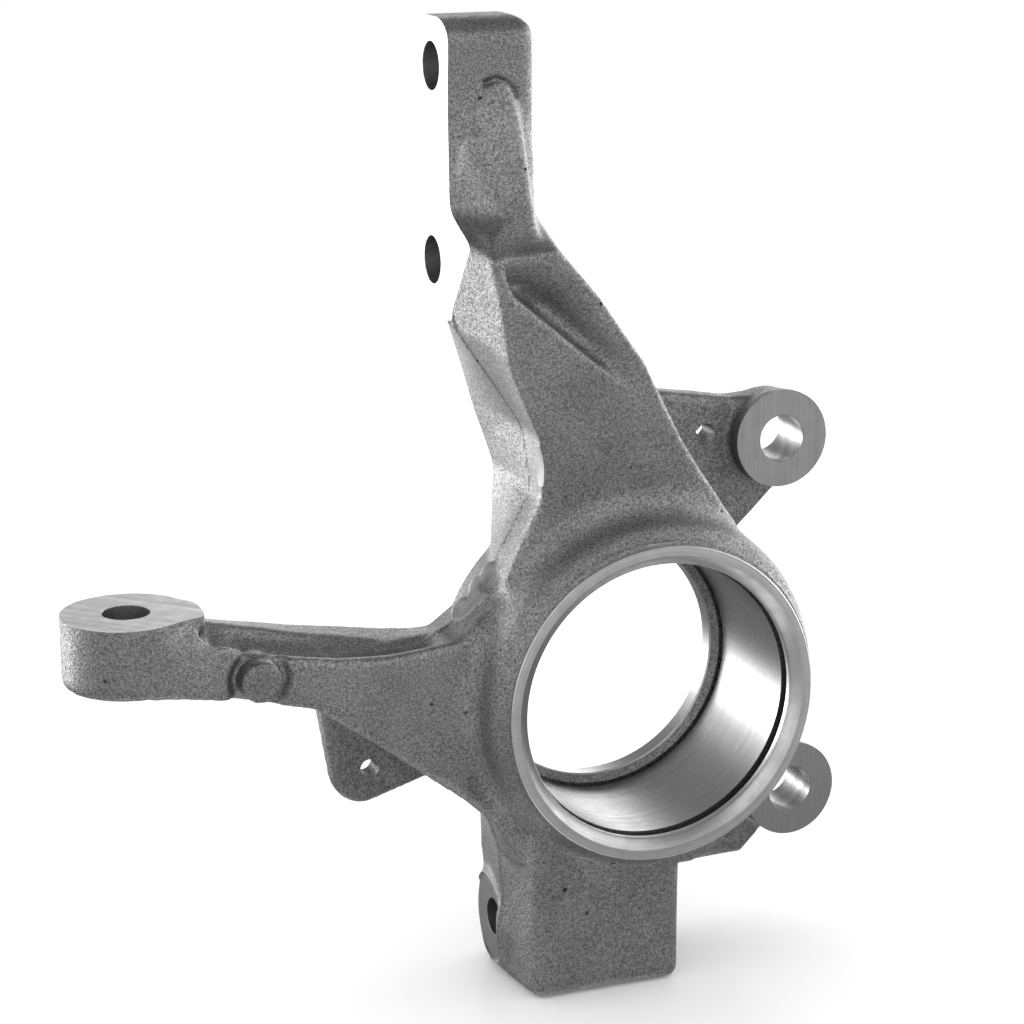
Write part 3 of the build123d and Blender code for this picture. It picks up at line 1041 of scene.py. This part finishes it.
def box_tool(name: str, low: Point3, high: Point3, finish: Surface) -> bpy.types.Object:
    """A block that is cut out of the blank.

    Args:
        name: Name of the tool.
        low: Its lowest corner in millimetres.
        high: Its highest corner.
        finish: The finish that it leaves.

    Returns:
        The block's object.
    """
    outline = [(low[0], low[1]), (high[0], low[1]), (high[0], high[1]), (low[0], high[1])]
    return prism_tool(name, outline, 2, low[2], high[2], finish)


@dataclass(frozen=True)
class Hole:
    """A round hole: where it starts in millimetres, which way it goes, its radius and its length."""

    start: Point3
    toward: Point3
    radius: float
    length: float

    def ends(self) -> tuple[tuple[np.ndarray, np.ndarray], tuple[np.ndarray, np.ndarray]]:
        """Both ends of the hole.

        Returns:
            Each end's place with the direction into the metal.
        """
        start, way = np.array(self.start), np.array(self.toward)
        return (start, way), (start + way * self.length, -way)


@dataclass
class Drilling:
    """Holes cut by node trees: the drills, the broken edges at their ends, and the threads."""

    through: tuple[Hole, ...] = (
        Hole((STRUT_X, *STRUT_HOLES[0]), (1.0, 0.0, 0.0), 6.1, 23.4),
        Hole((STRUT_X, *STRUT_HOLES[1]), (1.0, 0.0, 0.0), 6.1, 44.0),
        Hole((*TIE_HOLE, TIE_Z), (0.0, 0.0, -1.0), 6.0, 18.6),
        Hole((UPPER_LUG[0], PAD_Y, UPPER_LUG[1]), (0.0, 1.0, 0.0), 6.4, 14.5),
        Hole((LOWER_LUG[0], PAD_Y, LOWER_LUG[1]), (0.0, 1.0, 0.0), 6.4, 14.5),
        Hole((EAR_X, *PINCH_HOLE), (1.0, 0.0, 0.0), 5.15, 44.4),
    )
    tapped: tuple[Hole, ...] = (
        Hole((UPPER_SHIELD[0], TAB_Y, UPPER_SHIELD[1]), (0.0, 1.0, 0.0), 2.6, 8.5),
        Hole((LOWER_SHIELD[0], TAB_Y, LOWER_SHIELD[1]), (0.0, 1.0, 0.0), 2.6, 7.2),
    )
    thread_pitch: float = 1.0
    thread_depth: float = 0.42
    bevel: float = 0.02
    over: float = 3.0

    def build(self, finish: bpy.types.Material) -> list[bpy.types.Object]:
        """Makes the cutters.

        Args:
            finish: Finish of the holes.

        Returns:
            The cutters' objects.
        """
        bores = [(np.array(h.start) - np.array(h.toward) * self.over, h.toward, h.radius, h.length + 2 * self.over)
                 for h in self.through + self.tapped]
        rims = [(end - way * (0.4 - self.bevel) * h.radius, way, h.radius, h.radius)
                for h in self.through + self.tapped for end, way in h.ends()]
        threads = []
        for hole in self.tapped:
            turns = int(hole.length / self.thread_pitch)
            first = (hole.length - (turns - 1) * self.thread_pitch) / 2
            threads += [(np.array(hole.start) + np.array(hole.toward) * (first + k * self.thread_pitch), hole.toward,
                         hole.radius, 1.0) for k in range(turns)]
        return [
            self.cut("drills", bores, drill_tree(), {"Material": finish}),
            self.cut("rim_cutters", rims, rim_tree(), {"Material": finish}),
            self.cut("thread_cutters", threads, thread_tree(),
                     {"Material": finish, "Radius": self.tapped[0].radius * MM, "Depth": self.thread_depth * MM})]

    @staticmethod
    def cut(name: str, places: list[tuple], tree: bpy.types.NodeTree, values: dict[str, object]) -> bpy.types.Object:
        """Runs one tree on points that carry a turn, a radius and a length.

        Args:
            name: Name of the cutter.
            places: Start in millimetres, direction, radius and length of each.
            tree: The node tree.
            values: Its inputs.

        Returns:
            The cutter's object.
        """
        item = mesh_object(name, np.array([p[0] for p in places]), [])
        turns = [Vector((0.0, 0.0, 1.0)).rotation_difference(Vector(p[1])).to_euler() for p in places]
        for key, kind, data in (("turn", "FLOAT_VECTOR", [v for t in turns for v in t]),
                                ("radius", "FLOAT", [p[2] * MM for p in places]),
                                ("length", "FLOAT", [p[3] * MM for p in places])):
            field_name = "vector" if kind == "FLOAT_VECTOR" else "value"
            item.data.attributes.new(key, kind, "POINT").data.foreach_set(field_name, data)
        return outward(run_tree(item, tree, values))


@dataclass
class Machining:
    """The tools that finish the casting, with the sizes of the record's mounts."""

    seat_radius: float = 37.0
    lip_radius: float = 43.0
    seat_start: float = 6.2
    seat_end: float = 43.2
    far_y: float = 50.0
    groove_radius: float = 39.0
    entry_radius: float = 37.5
    rear_radius: float = 34.0
    relief: float = 0.4
    pad_mill: float = 15.2
    ear_mill: float = 12.4
    ear_start: float = 25.0
    stud_radius: float = 9.5
    ground_z: float = 61.0
    ground_edge: Point2 = (-30.6, 11.0)
    ground_radius: float = 24.0
    ground_depth: float = 1.3

    def bore(self) -> bpy.types.Object:
        """The bearing bore with its lip, groove, seat, relief, shoulder and rear rim; the groove and relief get a dark
        skin as painted shade.

        Returns:
            The bore's tool.
        """
        t, b, g, c = Surface.TURNED, Surface.BORED, Surface.PAINTED_SHADE, Surface.CAST
        seat, lip, entry, rear = self.seat_radius, self.lip_radius, self.entry_radius, self.rear_radius
        start, end, far, clear = self.seat_start, self.seat_end, self.far_y, 6.0
        outside = [(0.0, -8.0), (49.5, -8.0), (49.5, 0.75), (lip - 0.6, 1.1)]
        rim = [(lip - 0.6, 0.8), (lip - 0.2, 0.6), (lip - 0.2, 0.2), (lip - 0.4, 0.0), (40.3, 0.0), (40.0, 0.35)]
        mouth = [(entry + 0.2, 2.0), (entry, 2.4), (entry, 4.0), (self.groove_radius, 4.0), (self.groove_radius, start)]
        bed = [(seat, start), (seat, end - 1.1), (seat + self.relief, end - 1.0), (seat + self.relief, end)]
        back = [(36.3, end), (rear + 0.4, 44.3), (rear, 44.7), (rear, far - 0.9), (rear + 1.0, far)]
        profile = outside + rim + mouth + bed + back + [(rear + 1.0, far + clear), (0.0, far + clear)]
        # The groove and the relief undercut take the dark skin (g), painted shade that draws them as deep dark lines
        finishes = [t, t, c, c] + [t] * 8 + [g, g, g, b, g, g, g, c, t, b, t, t, t]
        return TurnedTool("bore_tool", profile, finishes).build()

    def tools(self) -> list[bpy.types.Object]:
        """The turned and milled tools.

        Returns:
            The tools in the order of cutting.
        """
        m, wide = Surface.MILLED, self.pad_mill
        made = [
            self.bore(),
            box_tool("strut_mill", (-70.0, -6.0, 88.0), (STRUT_X, 64.0, 190.0), m),
            box_tool("tie_mill", (-165.0, -6.0, TIE_Z), (-114.0, 52.0, 50.0), m),
        ]
        face = [(0.0, -8.0), (wide, -8.0), (wide, 0.0), (0.0, 0.0)]
        for number, (lug_x, lug_z) in enumerate((UPPER_LUG, LOWER_LUG)):
            made.append(TurnedTool(f"pad_mill_{number}", face, [m, m, m], (lug_x, PAD_Y, lug_z), 1, 96).build())
        made.append(self.ear())
        made.append(box_tool("slit_saw", (-13.5, 24.0, -90.0), (-10.5, 60.0, -48.0), m))
        stud = self.stud_radius
        profile = [(0.0, -4.0), (stud + 4.4, -4.0), (stud + 0.4, 0.0), (stud, 0.4), (stud, 29.0), (0.0, 30.0)]
        finishes = [m, m, m, Surface.BORED, m]
        made.append(TurnedTool("stud_reamer", profile, finishes, (*STUD_BORE, BOSS_Z), 2, 96).build())
        made.append(self.grinder())
        return made

    def ear(self) -> bpy.types.Object:
        """The mill that faces the pinch ear, up to the boss.

        Returns:
            The mill's tool.
        """
        y, z = PINCH_HOLE
        reach = math.acos((self.ear_start - y) / self.ear_mill)
        turns = np.linspace(-reach, reach, 60)
        outline = [(y + self.ear_mill * math.cos(t), z + self.ear_mill * math.sin(t)) for t in turns]
        return prism_tool("ear_mill", outline, 0, -46.0, EAR_X, Surface.MILLED)

    def grinder(self) -> bpy.types.Object:
        """The grinding wheel that dressed the upright arm's left edge.

        Returns:
            The wheel's tool.
        """
        g = Surface.GROUND
        profile = [(0.0, -12.0), (self.ground_radius + 2.0, -12.0), (self.ground_radius - 1.0, 6.0), (0.0, 6.0)]
        centre = (self.ground_edge[0] + self.ground_depth - self.ground_radius, self.ground_edge[1], self.ground_z)
        return TurnedTool("grinding_wheel", profile, [g, g, g], centre, 1, 180).build()


# Pits seen in the photograph: x, y, z and radius in millimetres
PITS = (
    (-147.3, 9.6, 28.6, 0.8), (-121.0, 8.4, 16.9, 0.7), (-24.6, 8.0, -51.1, 0.7), (-18.2, 8.0, -58.7, 0.6),
    (-40.8, 13.4, 36.7, 1.3), (26.1, 38.0, 62.3, 0.6), (12.0, 8.6, 77.0, 0.5), (-60.0, 12.0, 4.0, 0.5),
)


def pit_cutters(blank: bpy.types.Object, finish: bpy.types.Material) -> list[bpy.types.Object]:
    """Round pits at the places seen in the photograph, and small ones scattered over the casting.

    Args:
        blank: The rough casting.
        finish: The dark skin inside the pits, which paints shade into them.

    Returns:
        The cutters' objects.
    """
    placed = mesh_object("placed_pits", np.array([p[:3] for p in PITS]), [])
    placed.data.attributes.new("radius", "FLOAT", "POINT").data.foreach_set("value", [p[3] * MM for p in PITS])
    run_tree(placed, placed_pit_tree(), {"Material": finish})
    copy = bpy.data.objects.new("scattered_pits", blank.data.copy())
    bpy.context.scene.collection.objects.link(copy)
    run_tree(copy, pit_tree(), {"Material": finish})
    return [placed, copy]


def carved(blank: bpy.types.Object, tools: list[bpy.types.Object]) -> bpy.types.Object:
    """Cuts the tools out of the blank one after another.

    Args:
        blank: The rough casting.
        tools: Closed objects that carry their finishes.

    Returns:
        The blank's object with the machined shape.
    """
    for tool in tools:
        cut = blank.modifiers.new(tool.name, "BOOLEAN")
        cut.operation = "DIFFERENCE"
        cut.solver = "MANIFOLD"
        cut.object = tool
    applied(blank)
    remove(*tools)
    return blank


def group_tree(name: str, inputs: dict[str, float],
               outputs: Sequence[str]) -> tuple[Tree, bpy.types.Node, bpy.types.Node]:
    """Starts a shader node group with plain number sockets.

    Args:
        name: Name of the group.
        inputs: Names and first values of its inputs.
        outputs: Names of its outputs.

    Returns:
        The tree, its input node and its output node.
    """
    tree = bpy.data.node_groups.new(name, "ShaderNodeTree")
    for socket, value in inputs.items():
        made = tree.interface.new_socket(socket, in_out="INPUT", socket_type="NodeSocketFloat")
        made.default_value = value
    for socket in outputs:
        tree.interface.new_socket(socket, in_out="OUTPUT", socket_type="NodeSocketFloat")
    work = Tree(tree)
    return work, work.add("NodeGroupInput"), work.add("NodeGroupOutput")


def sand_grain_group() -> bpy.types.NodeTree:
    """Relief and tone of a sand-cast skin: grains, soft swellings and dark specks.

    Returns:
        The group with outputs Height in metres, Tone about 0 to 1, and Stain.
    """
    work, given, out = group_tree("sand_grain", {"Grain": 3100.0, "Depth": 0.00018, "Swell": 0.0002},
                                  ("Height", "Tone", "Stain"))
    place = work.add("ShaderNodeTexCoord").outputs["Object"]
    grain = work.add("ShaderNodeTexNoise", {"Vector": place, "Scale": given.outputs["Grain"], "Detail": 2.0,
                                            "Roughness": 0.6}).outputs[0]
    coarse_scale = work.math("MULTIPLY", given.outputs["Grain"], 0.45)
    coarse = work.add("ShaderNodeTexNoise", {"Vector": place, "Scale": coarse_scale, "Detail": 1.0}).outputs[0]
    swell = work.add("ShaderNodeTexNoise", {"Vector": place, "Scale": 160.0, "Detail": 2.0}).outputs[0]
    stain = work.add("ShaderNodeTexNoise", {"Vector": place, "Scale": 45.0, "Detail": 3.0}).outputs[0]
    mixed = work.math("ADD", work.math("MULTIPLY", grain, 0.66), work.math("MULTIPLY", coarse, 0.34))
    depth = work.math("MULTIPLY", mixed, given.outputs["Depth"])
    height = work.math("ADD", depth, work.math("MULTIPLY", swell, given.outputs["Swell"]))
    work.tree.links.new(height, out.inputs["Height"])
    work.tree.links.new(mixed, out.inputs["Tone"])
    work.tree.links.new(stain, out.inputs["Stain"])
    return work.tree


def tool_mark_group() -> bpy.types.NodeTree:
    """Fine parallel tool marks along rings round the bore's axis or across a face.

    Returns:
        The group with outputs Height in metres and Tone about 0 to 1.
    """
    work, given, out = group_tree("tool_marks", {"Rings": 0.0, "Pitch": 0.0004, "Depth": 0.00001}, ("Height", "Tone"))
    place = work.add("ShaderNodeTexCoord").outputs["Object"]
    split = work.add("ShaderNodeSeparateXYZ", {0: place})
    radius = work.math("SQRT", work.math("ADD", work.math("MULTIPLY", split.outputs[0], split.outputs[0]),
                                         work.math("MULTIPLY", split.outputs[2], split.outputs[2])))
    ring = work.math("MULTIPLY", work.math("SUBTRACT", radius, split.outputs[1]), given.outputs["Rings"])
    lane = work.math("MULTIPLY", work.math("ADD", split.outputs[1], split.outputs[0]),
                     work.math("SUBTRACT", 1.0, given.outputs["Rings"]))
    across = work.math("DIVIDE", work.math("ADD", ring, lane), given.outputs["Pitch"])
    fine = work.add("ShaderNodeTexNoise", {"W": across, "Scale": 1.0, "Detail": 2.0}, noise_dimensions="1D").outputs[0]
    wide = work.add("ShaderNodeTexNoise", {"W": across, "Scale": 0.16, "Detail": 1.0}, noise_dimensions="1D").outputs[0]
    cloud = work.add("ShaderNodeTexNoise", {"Vector": place, "Scale": 260.0, "Detail": 3.0}).outputs[0]
    tone = work.math("ADD", work.math("MULTIPLY", fine, 0.4),
                     work.math("ADD", work.math("MULTIPLY", wide, 0.25), work.math("MULTIPLY", cloud, 0.35)))
    work.tree.links.new(work.math("MULTIPLY", fine, given.outputs["Depth"]), out.inputs["Height"])
    work.tree.links.new(tone, out.inputs["Tone"])
    return work.tree


@dataclass(frozen=True)
class CastSkin:
    """Shot-blasted grey iron with the grain of the sand mould."""

    name: str = "cast_iron_skin"
    dark: float = 0.17
    light: float = 0.46
    roughness: Point2 = (0.44, 0.62)
    bump: float = 1.0

    def material(self, grain: bpy.types.NodeTree) -> bpy.types.Material:
        """Builds the material.

        Args:
            grain: The sand grain group.

        Returns:
            The material.
        """
        made = bpy.data.materials.new(self.name)
        made.use_nodes = True
        work = Tree(made.node_tree)
        shader = made.node_tree.nodes["Principled BSDF"]
        skin = work.add("ShaderNodeGroup", node_tree=grain)
        tone = work.ramp(skin.outputs["Tone"], (0.4, self.dark), (0.5, (self.dark + self.light) / 2),
                         (0.61, self.light))
        stain = work.ramp(skin.outputs["Stain"], (0.3, 0.86), (0.7, 1.08))
        colour = work.add("ShaderNodeMix", {0: 1.0, 6: tone, 7: stain}, data_type="RGBA", blend_type="MULTIPLY")
        rough = work.ramp(skin.outputs["Tone"], (0.35, self.roughness[1]), (0.65, self.roughness[0]))
        bump = work.add("ShaderNodeBump", {"Strength": self.bump, "Distance": 1.0, "Height": skin.outputs["Height"]})
        made.node_tree.links.new(colour.outputs[2], shader.inputs["Base Color"])
        made.node_tree.links.new(rough, shader.inputs["Roughness"])
        made.node_tree.links.new(bump.outputs[0], shader.inputs["Normal"])
        shader.inputs["Metallic"].default_value = 1.0
        return made


@dataclass(frozen=True)
class CutIron:
    """Bare machined iron with tool marks."""

    name: str
    dark: float
    light: float
    roughness: Point2
    rings: float
    pitch: float
    depth: float

    def material(self, marks: bpy.types.NodeTree) -> bpy.types.Material:
        """Builds the material.

        Args:
            marks: The tool mark group.

        Returns:
            The material.
        """
        made = bpy.data.materials.new(self.name)
        made.use_nodes = True
        work = Tree(made.node_tree)
        shader = made.node_tree.nodes["Principled BSDF"]
        cut = work.add("ShaderNodeGroup", {"Rings": self.rings, "Pitch": self.pitch, "Depth": self.depth},
                       node_tree=marks)
        colour = work.ramp(cut.outputs["Tone"], (0.3, self.dark), (0.7, self.light))
        rough = work.ramp(cut.outputs["Tone"], (0.3, self.roughness[1]), (0.7, self.roughness[0]))
        bump = work.add("ShaderNodeBump", {"Strength": 1.0, "Distance": 1.0, "Height": cut.outputs["Height"]})
        made.node_tree.links.new(colour, shader.inputs["Base Color"])
        made.node_tree.links.new(rough, shader.inputs["Roughness"])
        made.node_tree.links.new(bump.outputs[0], shader.inputs["Normal"])
        shader.inputs["Metallic"].default_value = 1.0
        return made


FINISHES: dict[Surface, CutIron] = {
    Surface.TURNED: CutIron("turned_face", 0.55, 0.85, (0.28, 0.42), 1.0, 0.00045, 0.000012),
    Surface.BORED: CutIron("bored_seat", 0.36, 0.47, (0.24, 0.32), 1.0, 0.0003, 0.000008),
    Surface.MILLED: CutIron("milled_face", 0.38, 0.52, (0.3, 0.42), 0.0, 0.0006, 0.000012),
    Surface.DRILLED: CutIron("drilled_hole", 0.3, 0.55, (0.3, 0.42), 1.0, 0.0005, 0.00002),
    Surface.GROUND: CutIron("ground_patch", 0.42, 0.56, (0.62, 0.74), 0.0, 0.0004, 0.000012),
}


class Knuckle:
    """The whole part: its casting, its machining and its finishes."""

    def __init__(self) -> None:
        """Sets up the stages and the finishes."""
        self.blank = CastBlank()
        marks = tool_mark_group()
        grain = sand_grain_group()
        self.materials = [CastSkin().material(grain)]
        self.materials += [cut.material(marks) for cut in FINISHES.values()]
        # Painted shade: a much darker copy of the cast skin for the pits and for the bore's groove and relief undercut
        self.materials.append(CastSkin("recess_painted_shade", 0.06, 0.2, (0.5, 0.7)).material(grain))

    def build(self) -> bpy.types.Object:
        """Makes the finished part in place of the frame's solid.

        Returns:
            The part's object.
        """
        part = self.blank.build()
        run_tree(part, uneven_tree(), {"Amount": self.blank.uneven * 2 * MM, "Material": self.materials[0]})
        log.info("blank triangles %d", len(part.data.polygons))
        pits = pit_cutters(part, self.materials[Surface.PAINTED_SHADE.value])
        self.dress(part)
        tools = Machining().tools()
        for tool in tools:
            self.dress(tool)
        part = carved(part, tools + Drilling().build(self.materials[Surface.DRILLED.value]) + pits)
        part.name = "knuckle"
        self.grind_lumps(part)
        self.shade(part)
        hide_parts(NODE)
        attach(part, BODY)
        log.info("knuckle faces %d", len(part.data.polygons))
        return part

    def dress(self, item: bpy.types.Object) -> None:
        """Gives an object the part's material slots.

        Args:
            item: The object, whose faces carry the slot numbers.
        """
        slots = [p.material_index for p in item.data.polygons]
        item.data.materials.clear()
        for material in self.materials:
            item.data.materials.append(material)
        item.data.polygons.foreach_set("material_index", slots)

    @staticmethod
    def grind_lumps(part: bpy.types.Object) -> None:
        """Gives the petals of flash their ground finish.

        Args:
            part: The part's object.
        """
        centres = from_frame(np.array([p.center for p in part.data.polygons]))
        for lump in LUMPS:
            away = centres - np.array(lump.centre)
            near = (np.linalg.norm(away, axis=1) < max(lump.radii) + 0.5) & (away[:, 0] < 2.0)
            for number in np.nonzero(near)[0]:
                part.data.polygons[int(number)].material_index = Surface.GROUND.value

    @staticmethod
    def shade(part: bpy.types.Object) -> None:
        """Shades the faces softly and keeps the machined edges sharp.

        Args:
            part: The part's object.
        """
        work = bmesh.new()
        work.from_mesh(part.data)
        for face in work.faces:
            face.smooth = True
        for edge in work.edges:
            faces = edge.link_faces
            if len(faces) != 2:
                continue
            cut = any(f.material_index != Surface.CAST.value for f in faces)
            angle = edge.calc_face_angle(0.0)
            border = faces[0].material_index != faces[1].material_index
            edge.smooth = not (border and angle > 0.17 or cut and angle > 0.5)
        work.to_mesh(part.data)
        work.free()
        part.data.update()


@dataclass
class Studio:
    """Pale floor, white surroundings, soft lamps and the camera."""

    floor_z: float = -82.2 * MM
    floor_size: float = 1.1
    camera_place: Point3 = (-289.518, -628.242, 238.975)
    camera_back: Point3 = (-0.35314918, -0.89837892, 0.26115316)
    camera_right: Point3 = (0.93048408, -0.3663273, -0.00191854)
    focal_pixels: float = 2800.0
    picture_pixels: float = 1024.0
    front_levels: tuple[Point2, ...] = ((-0.95, 1.4), (-0.6, 0.4), (-0.3, 0.4), (0.06, 0.95), (0.4, 0.66),
                                        (0.6, 0.85), (0.76, 0.8), (0.9, 0.1))
    back_levels: tuple[Point2, ...] = ((-0.95, 1.4), (-0.6, 0.33), (-0.37, 0.33), (-0.29, 0.95), (0.26, 1.2),
                                       (0.38, 0.34), (0.75, 0.25), (0.9, 0.1))
    behind_depth: Point2 = (-0.26, 0.26)
    side_fade: Point2 = (0.9, 0.5)
    left_level: float = 7.0
    left_side: Point2 = (-0.25, -0.6)
    left_depth: Point2 = (0.42, 0.68)
    left_height: Point2 = (0.2, -0.1)
    right_level: float = 0.9
    right_side: Point2 = (0.6, 0.95)
    right_height: Point2 = (-0.3, 0.0)
    right_back_level: float = 1.35
    right_back_side: Point2 = (0.12, 0.35)
    right_back_height: Point2 = (-0.31, -0.24)
    right_back_fade: Point2 = (0.5, 0.3)
    painted_shadow_reach: Point2 = (0.05, 0.3)
    far_reach: Point2 = (0.2, 0.55)
    lamp_place: Point3 = (-0.8, 0.45, 0.25)
    lamp_target: Point3 = (-0.05, 0.0, 0.03)
    lamp_size: float = 0.7
    lamp_power: float = 1.2

    def build(self) -> None:
        """Makes the stage, the world, the lamp and the camera."""
        self.floor()
        self.world()
        self.lamp()
        self.camera()

    def floor(self) -> None:
        """A plain pale floor that keeps the soft shadow; metal sees it darker in front, brighter on the left, and
        darker close to the part, a painted shadow.
        """
        size = self.floor_size
        mesh = bpy.data.meshes.new("floor")
        corners = [(-size, -size), (size, -size), (size, size), (-size, size)]
        mesh.from_pydata([(x, y, self.floor_z) for x, y in corners], [], [(0, 1, 2, 3)])
        made = bpy.data.objects.new("floor", mesh)
        bpy.context.scene.collection.objects.link(made)
        material = bpy.data.materials.new("pale_floor")
        material.use_nodes = True
        work = Tree(material.node_tree)
        shader = material.node_tree.nodes["Principled BSDF"]
        shader.inputs["Base Color"].default_value = (0.94, 0.94, 0.94, 1.0)
        shader.inputs["Roughness"].default_value = 0.22
        shader.inputs["Specular IOR Level"].default_value = 0.2
        toward = work.add("ShaderNodeNewGeometry").outputs["Incoming"]
        way = work.add("ShaderNodeVectorMath", {0: toward, "Scale": -1.0}, operation="SCALE").outputs[0]
        path = work.add("ShaderNodeLightPath")
        length = path.outputs["Ray Length"]
        # Painted shadow: glossy rays that reach the floor within a short distance see it dimmed to 0.6, as if in the
        # part's shadow
        near = work.math("MULTIPLY_ADD", self.step(work, length, *self.painted_shadow_reach), 0.4, 0.6)
        seen = work.math("MULTIPLY", self.seen_level(work, way, self.step(work, length, *self.far_reach)), near)
        glow = work.add("ShaderNodeEmission", {"Color": (1.0, 1.0, 1.0, 1.0), "Strength": seen})
        mixed = work.add("ShaderNodeMixShader", {0: path.outputs["Is Glossy Ray"], 1: shader.outputs[0],
                                                 2: glow.outputs[0]})
        out = next(n for n in material.node_tree.nodes if n.type == "OUTPUT_MATERIAL")
        material.node_tree.links.new(mixed.outputs[0], out.inputs["Surface"])
        mesh.materials.append(material)

    def seen_level(self, work: Tree, way: bpy.types.NodeSocket,
                   far: bpy.types.NodeSocket | float = 1.0) -> bpy.types.NodeSocket:
        """Brightness that metal sees in one direction: dark in front and overhead, white behind, bright at the sides.

        Args:
            work: The tree.
            way: The direction, a vector of length 1.
            far: Share of the left side's light that is seen.

        Returns:
            The brightness socket.
        """
        side, depth, height = work.add("ShaderNodeSeparateXYZ", {0: way}).outputs[:3]
        scale = 0.5
        place = work.add("ShaderNodeMapRange", {0: height, 1: -1.0, 2: 1.0}).outputs[0]
        front = work.ramp(place, *((z / 2 + 0.5, level * scale) for z, level in self.front_levels))
        back = work.ramp(place, *((z / 2 + 0.5, level * scale) for z, level in self.back_levels))
        behind = self.step(work, depth, *self.behind_depth)
        plain = work.add("ShaderNodeMix", {0: behind, 6: front, 7: back}, data_type="RGBA").outputs[2]
        plain = work.math("DIVIDE", plain, scale)
        left = self.all_of(work, self.step(work, side, *self.left_side), self.step(work, depth, *self.left_depth),
                           self.step(work, height, *self.left_height), far)
        right = self.all_of(work, self.step(work, side, *self.right_side), self.step(work, height, *self.right_height))
        right_back = self.all_of(work, self.step(work, side, *self.right_back_side),
                                 self.step(work, height, *self.right_back_height), behind,
                                 self.step(work, height, *self.right_back_fade))
        extra = work.math("MULTIPLY", left, self.left_level)
        extra = work.math("MULTIPLY_ADD", right, self.right_level, extra)
        extra = work.math("MULTIPLY_ADD", right_back, self.right_back_level, extra)
        return work.math("ADD", plain, work.math("MULTIPLY", extra, self.step(work, height, *self.side_fade)))

    @staticmethod
    def all_of(work: Tree, *shares: bpy.types.NodeSocket | float) -> bpy.types.NodeSocket:
        """The product of several shares.

        Args:
            work: The tree.
            shares: Two or more sockets or numbers.

        Returns:
            The product's socket.
        """
        product = shares[0]
        for share in shares[1:]:
            product = work.math("MULTIPLY", product, share)
        return product

    @staticmethod
    def step(work: Tree, value: bpy.types.NodeSocket, start: float, end: float) -> bpy.types.NodeSocket:
        """A soft step of a value from 0 at start to 1 at end."""
        return work.add("ShaderNodeMapRange", {0: value, 1: start, 2: end}, interpolation_type="SMOOTHSTEP").outputs[0]

    def world(self) -> None:
        """White backdrop to the eye, shaped surroundings for metal, and an even level for the rest."""
        world = bpy.data.worlds.new("studio")
        bpy.context.scene.world = world
        world.use_nodes = True
        tree = world.node_tree
        tree.nodes.clear()
        work = Tree(tree)
        out = work.add("ShaderNodeOutputWorld")
        path = work.add("ShaderNodeLightPath")
        way = work.add("ShaderNodeTexCoord").outputs["Generated"]
        white = (1.0, 1.0, 1.0, 1.0)
        mirrored = work.add("ShaderNodeBackground", {"Color": white, "Strength": self.seen_level(work, way)})
        plain = work.add("ShaderNodeBackground", {"Color": white, "Strength": 1.0})
        level = work.add("ShaderNodeBackground", {"Color": white, "Strength": 1.3})
        glossy = work.add("ShaderNodeMixShader", {0: path.outputs["Is Glossy Ray"], 1: level.outputs[0],
                                                  2: mirrored.outputs[0]})
        eye = work.add("ShaderNodeMixShader", {0: path.outputs["Is Camera Ray"], 1: glossy.outputs[0],
                                               2: plain.outputs[0]})
        tree.links.new(eye.outputs[0], out.inputs[0])

    def lamp(self) -> None:
        """A soft lamp behind on the left that draws the highlights of the arm's edge."""
        data = bpy.data.lights.new("left_back", "AREA")
        data.size = self.lamp_size
        data.energy = self.lamp_power
        made = bpy.data.objects.new("left_back", data)
        bpy.context.scene.collection.objects.link(made)
        made.location = self.lamp_place
        way = Vector(self.lamp_target) - Vector(self.lamp_place)
        made.rotation_euler = way.to_track_quat("-Z", "Y").to_euler()

    def camera(self) -> None:
        """Puts the camera at the photograph's viewing angle."""
        data = bpy.data.cameras.new("camera")
        data.sensor_width = 36.0
        data.lens = self.focal_pixels / self.picture_pixels * 36.0
        data.clip_start = 0.01
        made = bpy.data.objects.new("camera", data)
        bpy.context.scene.collection.objects.link(made)
        right, back = Vector(self.camera_right), Vector(self.camera_back)
        up = back.cross(right)
        turn = Matrix((right, up, back)).transposed().to_4x4()
        place = Vector(to_frame(np.array([self.camera_place]))[0])
        made.matrix_world = Matrix.Translation(place) @ turn
        bpy.context.scene.camera = made


def main() -> None:
    """Builds the part and its studio."""
    logging.basicConfig(level=logging.INFO, format="%(name)s: %(message)s")
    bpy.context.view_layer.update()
    bpy.context.scene.view_settings.view_transform = "Standard"
    part = Knuckle().build()
    log.info("piece %s rides on %s", part.name, BODY)
    Studio().build()


if __name__ == "__main__":
    main()
